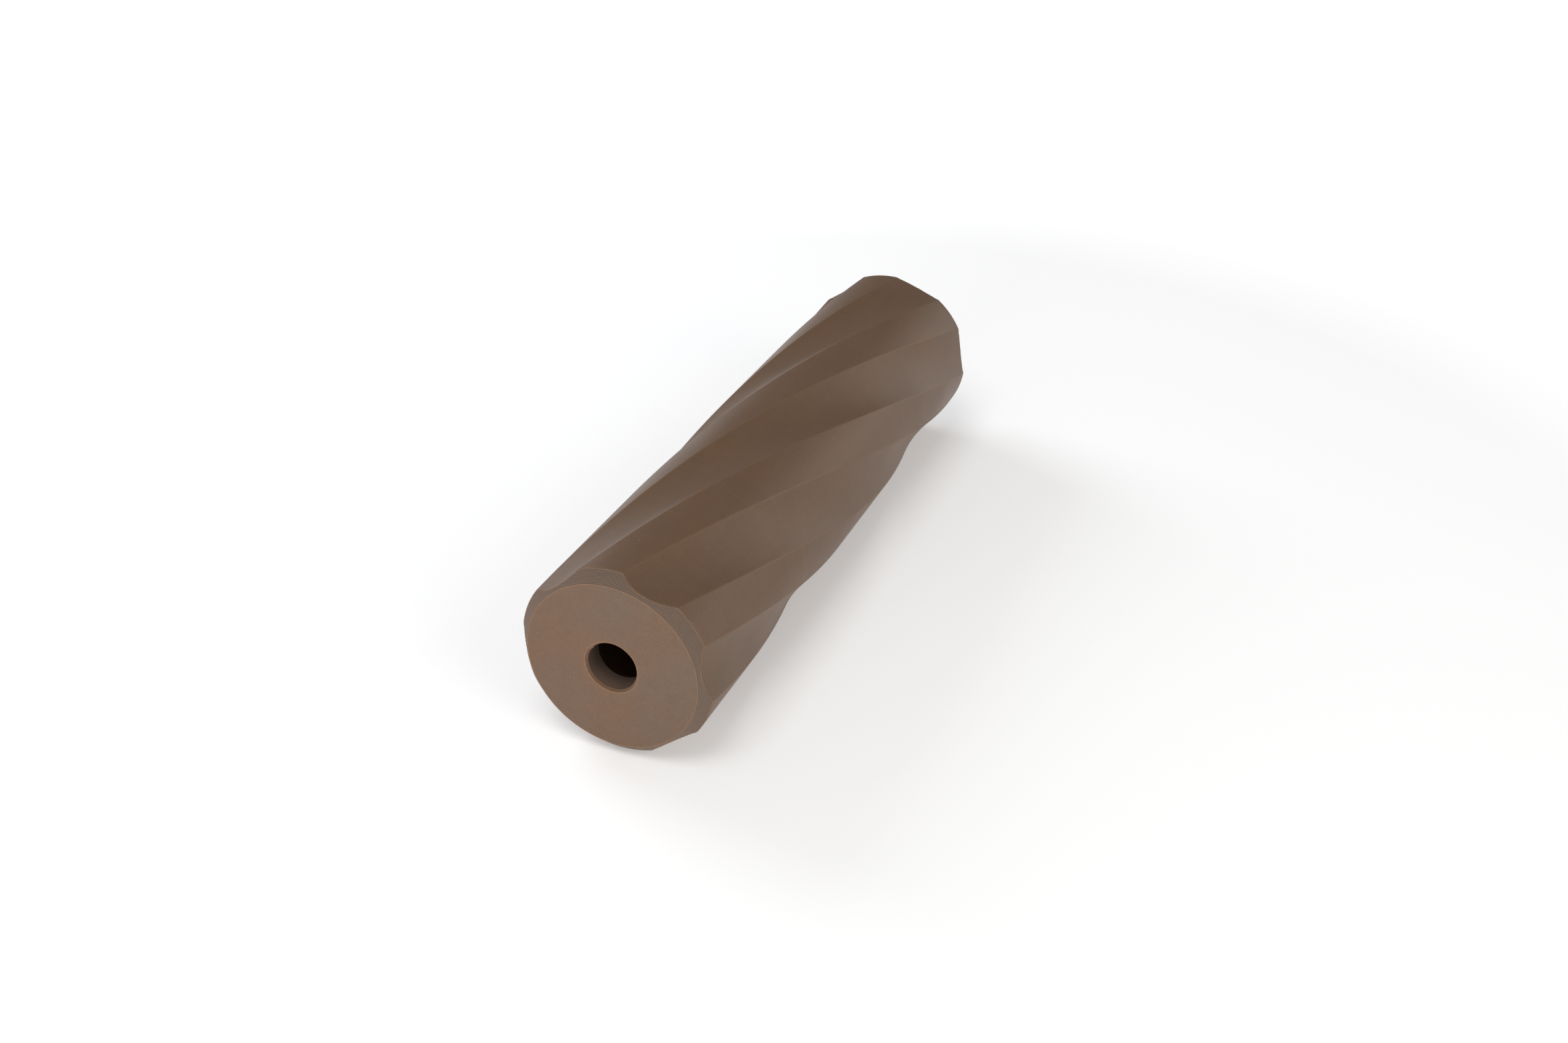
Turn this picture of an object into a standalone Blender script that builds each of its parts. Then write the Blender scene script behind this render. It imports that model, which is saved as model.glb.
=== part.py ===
"""Rock tumbler barrel: a printed, fluted shell with a dry hub at the front, a rubber-lined chamber,
and an expanding plug lid in the rear mouth.

The barrel lies on its side, its axis along +Y from the front face to the lid, and +Z is up. The origin
is on the ground under the middle of its overall length. Places called y count from the front face.
Metres throughout. Run it with blender --background --python part.py, or from the text editor.
"""

from math import acos, atan2, cos, hypot, pi, radians, sin, tau

import bmesh
import bpy
from mathutils import Matrix

# ---------------------------------------------------------------- driving dimensions

MM = 0.001
GAP = 0.3 * MM  # air between pieces that touch in real life

# Shell, outside
LENGTH = 238.5 * MM
OUTER_RADIUS = 31.0 * MM
CHAMFER = 3.4 * MM
FLUTE_COUNT = 6
FLUTE_DEPTH = 2.5 * MM
FLUTE_ARC_RADIUS = 40.0 * MM
FLUTE_LEAD = 710.0 * MM  # length over which the flutes would make one full turn
FIRST_LAND_ANGLE = radians(38.3)  # where one land crosses the front face, from +X towards +Z

# Shell, inside, from the front face back
HOLE_RADIUS = 7.85 * MM
HOLE_MOUTH_RADIUS = 8.4 * MM
HOLE_MOUTH_DEPTH = 0.6 * MM
END_WALL = 7.2 * MM
POCKET_RADIUS = 15.0 * MM
LEDGE_Y = 36.0 * MM
BORE_RADIUS = 23.6 * MM
SHOULDER_Y = 226.5 * MM
MOUTH_RADIUS = 26.0 * MM
MOUTH_LEAD_IN = 0.5 * MM

# Dry hub
BULKHEAD_THICKNESS = 8.0 * MM
BOSS_RADIUS = 12.5 * MM
BOSS_FRONT_Y = 28.0 * MM
HUB_BORE_RADIUS = 9.0 * MM
HUB_FLOOR_Y = 41.5 * MM
HUB_RUNNING_GAP = 0.1 * MM
STEADY_PIN_BORE_RADIUS = 6.05 * MM
BUSH_LENGTH = 8.0 * MM
SPRING_RING_THICKNESS = 1.0 * MM
O_RING_WIRE_RADIUS = 1.05 * MM
SCREW_COUNT = 4
SCREW_CIRCLE_RADIUS = 18.0 * MM
SCREW_RADIUS = 1.5 * MM
SCREW_HEAD_RADIUS = 2.9 * MM
SCREW_LENGTH = 12.5 * MM

# Chamber
LINER_END_Y = 193.0 * MM
LINER_FLAT_RADIUS = 19.0 * MM  # from the axis to the middle of each of the six faces
LINER_CORNER_RADIUS = 5.0 * MM
END_DISC_THICKNESS = 3.0 * MM

# Closure
THREAD_PITCH = 1.25 * MM
LOOSENING_TURNS = 3
CLAMP_TRAVEL = THREAD_PITCH * LOOSENING_TURNS
BOLT_RADIUS = 4.0 * MM
LID_THICKNESS = 4.4 * MM
SPIGOT_LENGTH = 4.6 * MM
SPIGOT_RADIUS = 23.0 * MM
EXPANSION_RING_LENGTH = 13.7 * MM
EXPANSION_RING_BORE = 13.0 * MM
PLATE_THICKNESS = 5.7 * MM
FACING_THICKNESS = 3.0 * MM
BOLT_HEAD_RADIUS = 8.0 * MM
BOLT_HEAD_HEIGHT = 4.0 * MM
NECK_HALF_WIDTH = 4.0 * MM
PIN_CIRCLE_RADIUS = 10.0 * MM
PIN_RADIUS = 1.5 * MM
THRUST_WASHER_RADIUS = 9.0 * MM
KNOB_RADIUS = 15.0 * MM
KNOB_HEIGHT = 13.8 * MM
KNOB_LOBES = 6
INSERT_RADIUS = 6.5 * MM
INSERT_LENGTH = 8.0 * MM
KNOB_RECESS_RADIUS = 7.4 * MM
BOLT_TIP_Y = 250.0 * MM

# Facets of a full circle
COARSE = 24
MEDIUM = 36
FINE = 48

# ---------------------------------------------------------------- derived places along the axis

SEAL_WASHER_THICKNESS = 1.0 * MM
THRUST_WASHER_THICKNESS = 1.6 * MM
GASKET_THICKNESS = 1.0 * MM

BULKHEAD_Y = LEDGE_Y + GAP
BULKHEAD_BACK_Y = BULKHEAD_Y + BULKHEAD_THICKNESS
END_DISC_Y = BULKHEAD_BACK_Y + GAP
LINER_Y = END_DISC_Y + END_DISC_THICKNESS + GAP

SNAP_GROOVE_Y = BOSS_FRONT_Y + 1.3 * MM
BUSH_Y = SNAP_GROOVE_Y + SPRING_RING_THICKNESS + 2 * GAP
THRUST_PAD_Y = BUSH_Y + BUSH_LENGTH + GAP

GASKET_Y = SHOULDER_Y + GAP
LID_SEAT_Y = GASKET_Y + GASKET_THICKNESS + GAP
LID_FACE_Y = LID_SEAT_Y + LID_THICKNESS
RING_Y = LID_SEAT_Y - SPIGOT_LENGTH - GAP - EXPANSION_RING_LENGTH
PLATE_Y = RING_Y - GAP - PLATE_THICKNESS
FACING_Y = PLATE_Y - GAP - FACING_THICKNESS
SEAL_WASHER_Y = FACING_Y - GAP - SEAL_WASHER_THICKNESS
BOLT_HEAD_Y = SEAL_WASHER_Y - GAP
THRUST_WASHER_Y = LID_FACE_Y + GAP
KNOB_Y = THRUST_WASHER_Y + THRUST_WASHER_THICKNESS + GAP
INSERT_Y = KNOB_Y + GAP
STOP_RING_Y = INSERT_Y + INSERT_LENGTH + CLAMP_TRAVEL + GAP

# ---------------------------------------------------------------- materials


def material(name, colour, roughness, metallic=0.0):
    """A Principled BSDF material."""
    made = bpy.data.materials.new(name)
    made.use_nodes = True
    shader = made.node_tree.nodes["Principled BSDF"]
    shader.inputs["Base Color"].default_value = (*colour, 1.0)
    shader.inputs["Roughness"].default_value = roughness
    shader.inputs["Metallic"].default_value = metallic
    return made


def make_materials():
    return {
        "printed": material("printed_brown_plastic", (0.17, 0.115, 0.078), 0.72),
        "lid": material("printed_lid_plastic", (0.14, 0.095, 0.066), 0.7),
        "knob": material("knob_plastic", (0.03, 0.03, 0.032), 0.45),
        "rubber": material("black_rubber", (0.018, 0.018, 0.018), 0.85),
        "seal": material("seal_rubber", (0.05, 0.012, 0.01), 0.6),
        "steel": material("stainless_steel", (0.6, 0.6, 0.58), 0.3, 1.0),
        "spring_steel": material("spring_steel", (0.22, 0.22, 0.23), 0.35, 1.0),
        "bronze": material("bronze", (0.55, 0.34, 0.16), 0.35, 1.0),
        "brass": material("brass", (0.72, 0.52, 0.22), 0.3, 1.0),
        "nylon": material("white_nylon", (0.75, 0.73, 0.68), 0.5),
    }


# ---------------------------------------------------------------- mesh helpers


def clear_scene():
    for found in list(bpy.data.objects):
        bpy.data.objects.remove(found, do_unlink=True)


def empty(name, location, parent=None):
    made = bpy.data.objects.new(name, None)
    made.empty_display_size = 0.01
    bpy.context.scene.collection.objects.link(made)
    made.location = location
    made.parent = parent
    return made


def barrel_frame():
    """The frame on the barrel's axis at the front face, from which every y is counted."""
    made = empty("barrel_axis", (0, -BOLT_TIP_Y / 2, OUTER_RADIUS))
    made["from_front_face"] = 0.0
    return made


def axis_frame(name, y, parent):
    """A frame on the barrel's axis, at distance y from the front face."""
    made = empty(name, (0, y - parent["from_front_face"], 0), parent)
    made["from_front_face"] = y
    return made


def object_from(name, mesh_data, parent, look, smooth=True):
    """An object made from a bmesh counted from the front face, with its origin on its parent's."""
    bmesh.ops.recalc_face_normals(mesh_data, faces=mesh_data.faces)
    to_parent = (0, -parent["from_front_face"], 0)
    bmesh.ops.translate(mesh_data, verts=mesh_data.verts, vec=to_parent)
    mesh = bpy.data.meshes.new(name)
    mesh_data.to_mesh(mesh)
    mesh_data.free()
    if smooth:
        mesh.shade_smooth()
        mesh.set_sharp_from_angle(angle=radians(35))
    made = bpy.data.objects.new(name, mesh)
    bpy.context.scene.collection.objects.link(made)
    made.parent = parent
    if look:
        made.data.materials.append(look)
    return made


def turned(profile, segments, turn=0.0):
    """A bmesh turned about the Y axis from a closed outline of (radius, y) points.

    Points on the axis are shared by every segment, so a solid piece starts and ends there.
    """
    made = bmesh.new()
    rings = []
    for radius, y in profile:
        if radius < 1e-9:
            rings.append([made.verts.new((0, y, 0))] * segments)
            continue
        angles = [turn + tau * k / segments for k in range(segments)]
        rings.append([made.verts.new((radius * cos(a), y, radius * sin(a))) for a in angles])
    for ring, following in zip(rings, rings[1:] + rings[:1]):
        for k in range(segments):
            after = (k + 1) % segments
            corners = [ring[k], ring[after], following[after], following[k]]
            unique = list(dict.fromkeys(corners))
            if len(unique) > 2:
                made.faces.new(unique)
    return made


def prism(outline, y_low, y_high):
    """A bmesh of a closed (x, z) outline, extruded along the axis."""
    made = bmesh.new()
    low = [made.verts.new((x, y_low, z)) for x, z in outline]
    high = [made.verts.new((x, y_high, z)) for x, z in outline]
    made.faces.new(low)
    made.faces.new(high)
    for k in range(len(outline)):
        after = (k + 1) % len(outline)
        made.faces.new((low[k], low[after], high[after], high[k]))
    return made


def moved(mesh_data, x=0.0, y=0.0, z=0.0):
    bmesh.ops.translate(mesh_data, verts=mesh_data.verts, vec=(x, y, z))
    return mesh_data


def boolean(target, operation, mesh_data):
    """Adds a Boolean modifier whose cutter stays in the scene as a hidden wire helper."""
    count = len(target.modifiers) + 1
    cutter = object_from(f"{target.name}_helper_{count}", mesh_data, target.parent, None, False)
    cutter.hide_render = True
    cutter.display_type = "WIRE"
    step = target.modifiers.new(f"{operation.lower()}_{count}", "BOOLEAN")
    step.operation = operation
    step.object = cutter
    return target


def arc(centre, radius, start, end, steps):
    """Points (u, v) on an arc, both ends included."""
    angles = [start + (end - start) * k / steps for k in range(steps + 1)]
    return [(centre[0] + radius * cos(a), centre[1] + radius * sin(a)) for a in angles]


def chamfered_ring(inner, outer, y_low, y_high, edge):
    """Outline of a ring of rectangular section with its four corners cut off."""
    return [
        (outer - edge, y_low),
        (outer, y_low + edge),
        (outer, y_high - edge),
        (outer - edge, y_high),
        (inner + edge, y_high),
        (inner, y_high - edge),
        (inner, y_low + edge),
        (inner + edge, y_low),
    ]


def flat_ring(inner, outer, y_low, y_high):
    """Outline of a thin ring of rectangular section."""
    return [(outer, y_low), (outer, y_high), (inner, y_high), (inner, y_low)]


def chamfered_disc(outer, y_low, y_high, edge):
    """Outline of a solid disc with its rim's two corners cut off."""
    return [
        (0, y_low),
        (outer - edge, y_low),
        (outer, y_low + edge),
        (outer, y_high - edge),
        (outer - edge, y_high),
        (0, y_high),
    ]


def on_circle(radius, count, start=0.0):
    return [
        (radius * cos(start + tau * k / count), radius * sin(start + tau * k / count))
        for k in range(count)
    ]


def ear_arc(ear_at, ear_radius, angle, side):
    """Half circle round the end of a spring ring, from its outer edge to its inner edge."""
    centre = (ear_at * cos(angle), ear_at * sin(angle))
    return arc(centre, ear_radius, angle, angle + side * pi, 6)


def spring_ring(name, inner, outer, y_low, opening, ear_at, ear_radius, parent, look):
    """A flat spring ring with a gap, and a drilled ear on each side of the gap."""
    steps, thickness, eye_radius = 20, SPRING_RING_THICKNESS, 0.5 * MM
    low, high = opening / 2, tau - opening / 2
    outline = arc((0, 0), outer, low, high, steps)
    outline += ear_arc(ear_at, ear_radius, high, 1)
    outline += arc((0, 0), inner, high, low, steps)
    outline += reversed(ear_arc(ear_at, ear_radius, low, -1))
    ring = object_from(name, prism(outline, y_low, y_low + thickness), parent, look)
    for angle in (low, high):
        eye = turned(
            [
                (0, y_low - MM),
                (eye_radius, y_low - MM),
                (eye_radius, y_low + thickness + MM),
                (0, y_low + thickness + MM),
            ],
            8,
        )
        boolean(ring, "DIFFERENCE", moved(eye, ear_at * cos(angle), 0, ear_at * sin(angle)))


# ---------------------------------------------------------------- shell


def flute_half_angle():
    """Half the angle at which a flute's arc cuts the outer circle."""
    centre = OUTER_RADIUS - FLUTE_DEPTH + FLUTE_ARC_RADIUS
    cosine = (OUTER_RADIUS**2 + centre**2 - FLUTE_ARC_RADIUS**2) / (2 * OUTER_RADIUS * centre)
    return acos(cosine)


def fluted_outline():
    """One cross-section of the fluted bar as (radius, angle) points, land by land."""
    land_steps, flute_steps = 2, 6
    pitch = tau / FLUTE_COUNT
    half_flute = flute_half_angle()
    centre = OUTER_RADIUS - FLUTE_DEPTH + FLUTE_ARC_RADIUS
    points = []
    for land in range(FLUTE_COUNT):
        middle = land * pitch
        start = middle - pitch / 2 + half_flute
        width = pitch - 2 * half_flute
        for k in range(land_steps):
            points.append((OUTER_RADIUS, start + width * k / land_steps))
        flute_middle = middle + pitch / 2
        half_arc = atan2(OUTER_RADIUS * sin(half_flute), centre - OUTER_RADIUS * cos(half_flute))
        for k in range(flute_steps):
            across = half_arc * (2 * k / flute_steps - 1)
            u = centre - FLUTE_ARC_RADIUS * cos(across)
            v = FLUTE_ARC_RADIUS * sin(across)
            points.append((hypot(u, v), flute_middle + atan2(v, u)))
    return points


def fluted_bar():
    """The twisted bar with its lands and flutes, a little longer than the shell at each end."""
    steps, beyond = 22, 4 * MM
    made = bmesh.new()
    rings = []
    for k in range(steps + 1):
        y = -beyond + (LENGTH + 2 * beyond) * k / steps
        turn = FIRST_LAND_ANGLE - tau * y / FLUTE_LEAD
        rings.append(
            [
                made.verts.new((radius * cos(angle + turn), y, radius * sin(angle + turn)))
                for radius, angle in fluted_outline()
            ]
        )
    count = len(rings[0])
    for ring, following in zip(rings, rings[1:]):
        for k in range(count):
            after = (k + 1) % count
            made.faces.new((ring[k], ring[after], following[after], following[k]))
    made.faces.new(rings[0])
    made.faces.new(rings[-1])
    return made


def chamfer_envelope():
    """The two 45 degree cones that chamfer the ends, clear of the lands between them."""
    face = OUTER_RADIUS - CHAMFER
    past = 2 * CHAMFER
    return turned(
        [
            (0, 0),
            (face, 0),
            (face + past, past),
            (face + past, LENGTH - past),
            (face, LENGTH),
            (0, LENGTH),
        ],
        FINE,
    )


def shell_hollow():
    """Everything that is open inside the shell, from the hole in the end wall to the rear mouth."""
    beyond = 2 * MM
    return turned(
        [
            (0, -beyond),
            (HOLE_MOUTH_RADIUS, -beyond),
            (HOLE_MOUTH_RADIUS, 0),
            (HOLE_RADIUS, HOLE_MOUTH_DEPTH),
            (HOLE_RADIUS, END_WALL),
            (POCKET_RADIUS, END_WALL),
            (POCKET_RADIUS, LEDGE_Y),
            (BORE_RADIUS, LEDGE_Y),
            (BORE_RADIUS, SHOULDER_Y),
            (MOUTH_RADIUS, SHOULDER_Y),
            (MOUTH_RADIUS, LENGTH - MOUTH_LEAD_IN),
            (MOUTH_RADIUS + MOUTH_LEAD_IN, LENGTH),
            (MOUTH_RADIUS + MOUTH_LEAD_IN, LENGTH + beyond),
            (0, LENGTH + beyond),
        ],
        FINE,
    )


def screw_places():
    return on_circle(SCREW_CIRCLE_RADIUS, SCREW_COUNT, tau / 8)


def barrel_shell(parent, look):
    shell = object_from("barrel_shell", fluted_bar(), parent, look)
    boolean(shell, "INTERSECT", chamfer_envelope())
    boolean(shell, "DIFFERENCE", shell_hollow())
    pilot_depth = SCREW_LENGTH - BULKHEAD_THICKNESS + 2 * MM
    for x, z in screw_places():
        radius = SCREW_RADIUS + GAP
        pilot = turned(
            [
                (0, LEDGE_Y - pilot_depth),
                (radius, LEDGE_Y - pilot_depth),
                (radius, LEDGE_Y + MM),
                (0, LEDGE_Y + MM),
            ],
            16,
        )
        boolean(shell, "DIFFERENCE", moved(pilot, x, 0, z))


# ---------------------------------------------------------------- dry hub


def front_bulkhead(parent, look):
    rim = BORE_RADIUS - GAP
    edge = 0.6 * MM
    groove_floor = BORE_RADIUS - 2 * GAP - 2 * O_RING_WIRE_RADIUS
    groove_half = O_RING_WIRE_RADIUS + 1.5 * GAP
    middle = BULKHEAD_Y + BULKHEAD_THICKNESS / 2
    snap_high = SNAP_GROOVE_Y + SPRING_RING_THICKNESS + GAP
    outline = [
        (0, HUB_FLOOR_Y),
        (HUB_BORE_RADIUS, HUB_FLOOR_Y),
        (HUB_BORE_RADIUS, snap_high),
        (HUB_BORE_RADIUS + 0.8 * MM, snap_high),
        (HUB_BORE_RADIUS + 0.8 * MM, SNAP_GROOVE_Y - GAP),
        (HUB_BORE_RADIUS, SNAP_GROOVE_Y - GAP),
        (HUB_BORE_RADIUS, BOSS_FRONT_Y + edge),
        (HUB_BORE_RADIUS + edge, BOSS_FRONT_Y),
        (BOSS_RADIUS - edge, BOSS_FRONT_Y),
        (BOSS_RADIUS, BOSS_FRONT_Y + edge),
        (BOSS_RADIUS, BULKHEAD_Y),
        (rim - edge, BULKHEAD_Y),
        (rim, BULKHEAD_Y + edge),
        (rim, middle - groove_half),
        (groove_floor, middle - groove_half),
        (groove_floor, middle + groove_half),
        (rim, middle + groove_half),
        (rim, BULKHEAD_BACK_Y - edge),
        (rim - edge, BULKHEAD_BACK_Y),
        (0, BULKHEAD_BACK_Y),
    ]
    bulkhead = object_from("front_bulkhead", turned(outline, MEDIUM), parent, look)
    for x, z in screw_places():
        clear, head = SCREW_RADIUS + GAP, SCREW_HEAD_RADIUS + GAP
        cone = head - clear
        drill = turned(
            [
                (0, BULKHEAD_Y - MM),
                (clear, BULKHEAD_Y - MM),
                (clear, BULKHEAD_BACK_Y - cone),
                (head, BULKHEAD_BACK_Y),
                (head, BULKHEAD_BACK_Y + MM),
                (0, BULKHEAD_BACK_Y + MM),
            ],
            16,
        )
        boolean(bulkhead, "DIFFERENCE", moved(drill, x, 0, z))


def bulkhead_o_ring(parent, look):
    middle = BULKHEAD_Y + BULKHEAD_THICKNESS / 2
    centre = BORE_RADIUS - GAP - O_RING_WIRE_RADIUS
    wire = arc((centre, middle), O_RING_WIRE_RADIUS, 0, tau, 6)[:-1]
    object_from("bulkhead_o_ring", turned(wire, MEDIUM), parent, look)


def bulkhead_screws(parent, look):
    """Countersunk screws, heads in the wet side, each with a hexagonal socket."""
    top = BULKHEAD_BACK_Y - GAP
    tip_edge = 0.4 * MM
    socket_depth = 1.6 * MM
    for number, (x, z) in enumerate(screw_places(), 1):
        cone = SCREW_HEAD_RADIUS - SCREW_RADIUS
        outline = [
            (0, top - SCREW_LENGTH),
            (SCREW_RADIUS - tip_edge, top - SCREW_LENGTH),
            (SCREW_RADIUS, top - SCREW_LENGTH + tip_edge),
            (SCREW_RADIUS, top - cone),
            (SCREW_HEAD_RADIUS, top),
            (0, top),
        ]
        screw = object_from(
            f"bulkhead_screw_{number}", moved(turned(outline, 16), x, 0, z), parent, look
        )
        socket = prism(on_circle(1.15 * MM, 6), top - socket_depth, top + MM)
        boolean(screw, "DIFFERENCE", moved(socket, x, 0, z))


def hub_bush(parent, look):
    outer = HUB_BORE_RADIUS - HUB_RUNNING_GAP
    outline = chamfered_ring(STEADY_PIN_BORE_RADIUS, outer, BUSH_Y, BUSH_Y + BUSH_LENGTH, 0.5 * MM)
    object_from("hub_bush", turned(outline, MEDIUM), parent, look)


def thrust_pad(parent, look):
    high = HUB_FLOOR_Y - GAP
    outline = chamfered_disc(HUB_BORE_RADIUS - GAP, THRUST_PAD_Y, high, 0.4 * MM)
    object_from("thrust_pad", turned(outline, MEDIUM), parent, look)


def hub_snap_ring(parent, look):
    inner, outer = HUB_BORE_RADIUS - 1.0 * MM, HUB_BORE_RADIUS + 0.5 * MM
    ear_radius = 1.3 * MM
    spring_ring(
        "hub_snap_ring", inner, outer, SNAP_GROOVE_Y, radians(46), inner, ear_radius, parent, look
    )


# ---------------------------------------------------------------- chamber


def liner_end_disc(parent, look):
    low, high = END_DISC_Y, END_DISC_Y + END_DISC_THICKNESS
    outline = chamfered_disc(BORE_RADIUS - GAP, low, high, 0.5 * MM)
    object_from("liner_end_disc", turned(outline, MEDIUM), parent, look)


def rounded_hexagon(flat_radius, corner_radius, corner_steps=4):
    """Outline of a hexagon given from its centre to its faces, with rounded corners."""
    reach = (flat_radius - corner_radius) / cos(pi / 6)
    points = []
    for corner in range(6):
        direction = tau * corner / 6
        centre = (reach * cos(direction), reach * sin(direction))
        points += arc(centre, corner_radius, direction - pi / 6, direction + pi / 6, corner_steps)
    return points


def chamber_liner(parent, look):
    outer = BORE_RADIUS - GAP
    edge = 0.8 * MM
    outline = [
        (0, LINER_Y),
        (outer - edge, LINER_Y),
        (outer, LINER_Y + edge),
        (outer, LINER_END_Y - edge),
        (outer - edge, LINER_END_Y),
        (0, LINER_END_Y),
    ]
    liner = object_from("chamber_liner", turned(outline, MEDIUM), parent, look)
    hexagon = rounded_hexagon(LINER_FLAT_RADIUS, LINER_CORNER_RADIUS)
    boolean(liner, "DIFFERENCE", prism(hexagon, LINER_Y - MM, LINER_END_Y + MM))


# ---------------------------------------------------------------- closure


def outer_lid(parent, look):
    """The cover plate: a spigot inside, and outside a raised rim, six ribs and a washer boss."""
    rim = MOUTH_RADIUS - GAP
    edge = 0.6 * MM
    web_y = LID_FACE_Y - 1.4 * MM
    rim_width = 2.6 * MM
    boss = 10.5 * MM
    hole = BOLT_RADIUS + GAP
    spigot_y = LID_SEAT_Y - SPIGOT_LENGTH
    outline = [
        (hole, spigot_y),
        (SPIGOT_RADIUS - edge, spigot_y),
        (SPIGOT_RADIUS, spigot_y + edge),
        (SPIGOT_RADIUS, LID_SEAT_Y),
        (rim, LID_SEAT_Y),
        (rim, LID_FACE_Y - edge),
        (rim - edge, LID_FACE_Y),
        (rim - rim_width, LID_FACE_Y),
        (rim - rim_width - edge, web_y),
        (boss + edge, web_y),
        (boss, LID_FACE_Y),
        (hole, LID_FACE_Y),
    ]
    lid = object_from("outer_lid", turned(outline, FINE), parent, look)
    rib_half, rib_low = 1.0 * MM, web_y - MM
    rib_high = LID_FACE_Y - 0.2 * MM
    inner, outer = boss - MM, rim - rim_width / 2
    for k in range(FLUTE_COUNT):
        rib = prism(
            [(inner, -rib_half), (outer, -rib_half), (outer, rib_half), (inner, rib_half)],
            rib_low,
            rib_high,
        )
        turn = Matrix.Rotation(tau * (k + 0.5) / FLUTE_COUNT, 3, "Y")
        bmesh.ops.rotate(rib, verts=rib.verts, cent=(0, 0, 0), matrix=turn)
        boolean(lid, "UNION", rib)
    for x, z in pin_places():
        radius = PIN_RADIUS + GAP
        top = LID_SEAT_Y + GAP
        drill = turned([(0, spigot_y - MM), (radius, spigot_y - MM), (radius, top), (0, top)], 16)
        boolean(lid, "DIFFERENCE", moved(drill, x, 0, z))


def lid_gasket(parent, look):
    high = GASKET_Y + GASKET_THICKNESS
    outline = flat_ring(SPIGOT_RADIUS + GAP, MOUTH_RADIUS - GAP, GASKET_Y, high)
    object_from("lid_gasket", turned(outline, MEDIUM), parent, look)


def expansion_ring(parent, look):
    """The squeezed rubber ring, its outer corners bevelled."""
    outer = BORE_RADIUS - GAP
    low, high = RING_Y, RING_Y + EXPANSION_RING_LENGTH
    edge = 1.8 * MM
    outline = [
        (outer - edge, low),
        (outer, low + edge),
        (outer, high - edge),
        (outer - edge, high),
        (EXPANSION_RING_BORE, high),
        (EXPANSION_RING_BORE, low),
    ]
    object_from("expansion_ring", turned(outline, FINE), parent, look)


def pin_places():
    return on_circle(PIN_CIRCLE_RADIUS, 2, pi / 2)


def neck_outline(extra=0.0):
    half = NECK_HALF_WIDTH + extra
    return [(-half, -half), (half, -half), (half, half), (-half, half)]


def inner_plate(parent, look):
    radius = BORE_RADIUS - 0.8 * MM
    low, high = PLATE_Y, PLATE_Y + PLATE_THICKNESS
    hub, edge, rim_thickness = 11.8 * MM, 0.8 * MM, 2.5 * MM
    outline = [
        (0, low),
        (radius - edge, low),
        (radius, low + edge),
        (radius, high - edge),
        (radius - edge, high),
        (hub + edge, high),
        (hub, high - edge),
        (hub - 2 * edge, low + rim_thickness),
        (0, low + rim_thickness),
    ]
    plate = object_from("inner_plate", turned(outline, MEDIUM), parent, look)
    boolean(plate, "DIFFERENCE", prism(neck_outline(GAP), low - MM, high + MM))
    for x, z in pin_places():
        fit = PIN_RADIUS + 0.05 * MM
        drill = turned([(0, low + MM), (fit, low + MM), (fit, high + MM), (0, high + MM)], 16)
        boolean(plate, "DIFFERENCE", moved(drill, x, 0, z))


def guide_pins(parent, look):
    low, high = PLATE_Y + MM + GAP, LID_SEAT_Y
    for number, (x, z) in enumerate(pin_places(), 1):
        outline = chamfered_disc(PIN_RADIUS, low, high, 0.3 * MM)
        object_from(f"guide_pin_{number}", moved(turned(outline, 16), x, 0, z), parent, look)


def plate_facing(parent, look):
    low, high = FACING_Y, FACING_Y + FACING_THICKNESS
    outline = chamfered_disc(BORE_RADIUS - 0.6 * MM, low, high, 0.8 * MM)
    facing = object_from("plate_facing", turned(outline, MEDIUM), parent, look)
    boolean(facing, "DIFFERENCE", prism(neck_outline(GAP), low - MM, high + MM))


def bolt_seal_washer(parent, look):
    low, high = SEAL_WASHER_Y, SEAL_WASHER_Y + SEAL_WASHER_THICKNESS
    inner = NECK_HALF_WIDTH * 2**0.5 + GAP
    outline = flat_ring(inner, BOLT_HEAD_RADIUS + 0.5 * MM, low, high)
    object_from("bolt_seal_washer", turned(outline, COARSE), parent, look)


def clamp_bolt(parent, look):
    """Carriage bolt: domed head in the chamber, square neck, shank, and a clip groove at its tip."""
    neck_end = PLATE_Y + 2.5 * MM
    groove_floor = BOLT_RADIUS - 0.7 * MM
    groove_low, groove_high = STOP_RING_Y - GAP, STOP_RING_Y + SPRING_RING_THICKNESS + GAP
    tip_edge = 0.8 * MM
    dome_radius = (BOLT_HEAD_RADIUS**2 + BOLT_HEAD_HEIGHT**2) / (2 * BOLT_HEAD_HEIGHT)
    dome_centre = BOLT_HEAD_Y - BOLT_HEAD_HEIGHT + dome_radius
    half_angle = acos((dome_radius - BOLT_HEAD_HEIGHT) / dome_radius)
    dome = [
        (dome_radius * sin(half_angle * k / 6), dome_centre - dome_radius * cos(half_angle * k / 6))
        for k in range(7)
    ]
    outline = dome + [
        (BOLT_RADIUS, BOLT_HEAD_Y),
        (BOLT_RADIUS, groove_low),
        (groove_floor, groove_low),
        (groove_floor, groove_high),
        (BOLT_RADIUS, groove_high),
        (BOLT_RADIUS, BOLT_TIP_Y - tip_edge),
        (BOLT_RADIUS - tip_edge, BOLT_TIP_Y),
        (0, BOLT_TIP_Y),
    ]
    half_facet = tau / (2 * COARSE)
    bolt = object_from("clamp_bolt", turned(outline, COARSE, half_facet), parent, look)
    boolean(bolt, "UNION", prism(neck_outline(), BOLT_HEAD_Y - 0.5 * MM, neck_end))


def thrust_washer(parent, look):
    high = THRUST_WASHER_Y + THRUST_WASHER_THICKNESS
    outline = flat_ring(BOLT_RADIUS + GAP, THRUST_WASHER_RADIUS, THRUST_WASHER_Y, high)
    object_from("thrust_washer", turned(outline, COARSE), parent, look)


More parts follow.
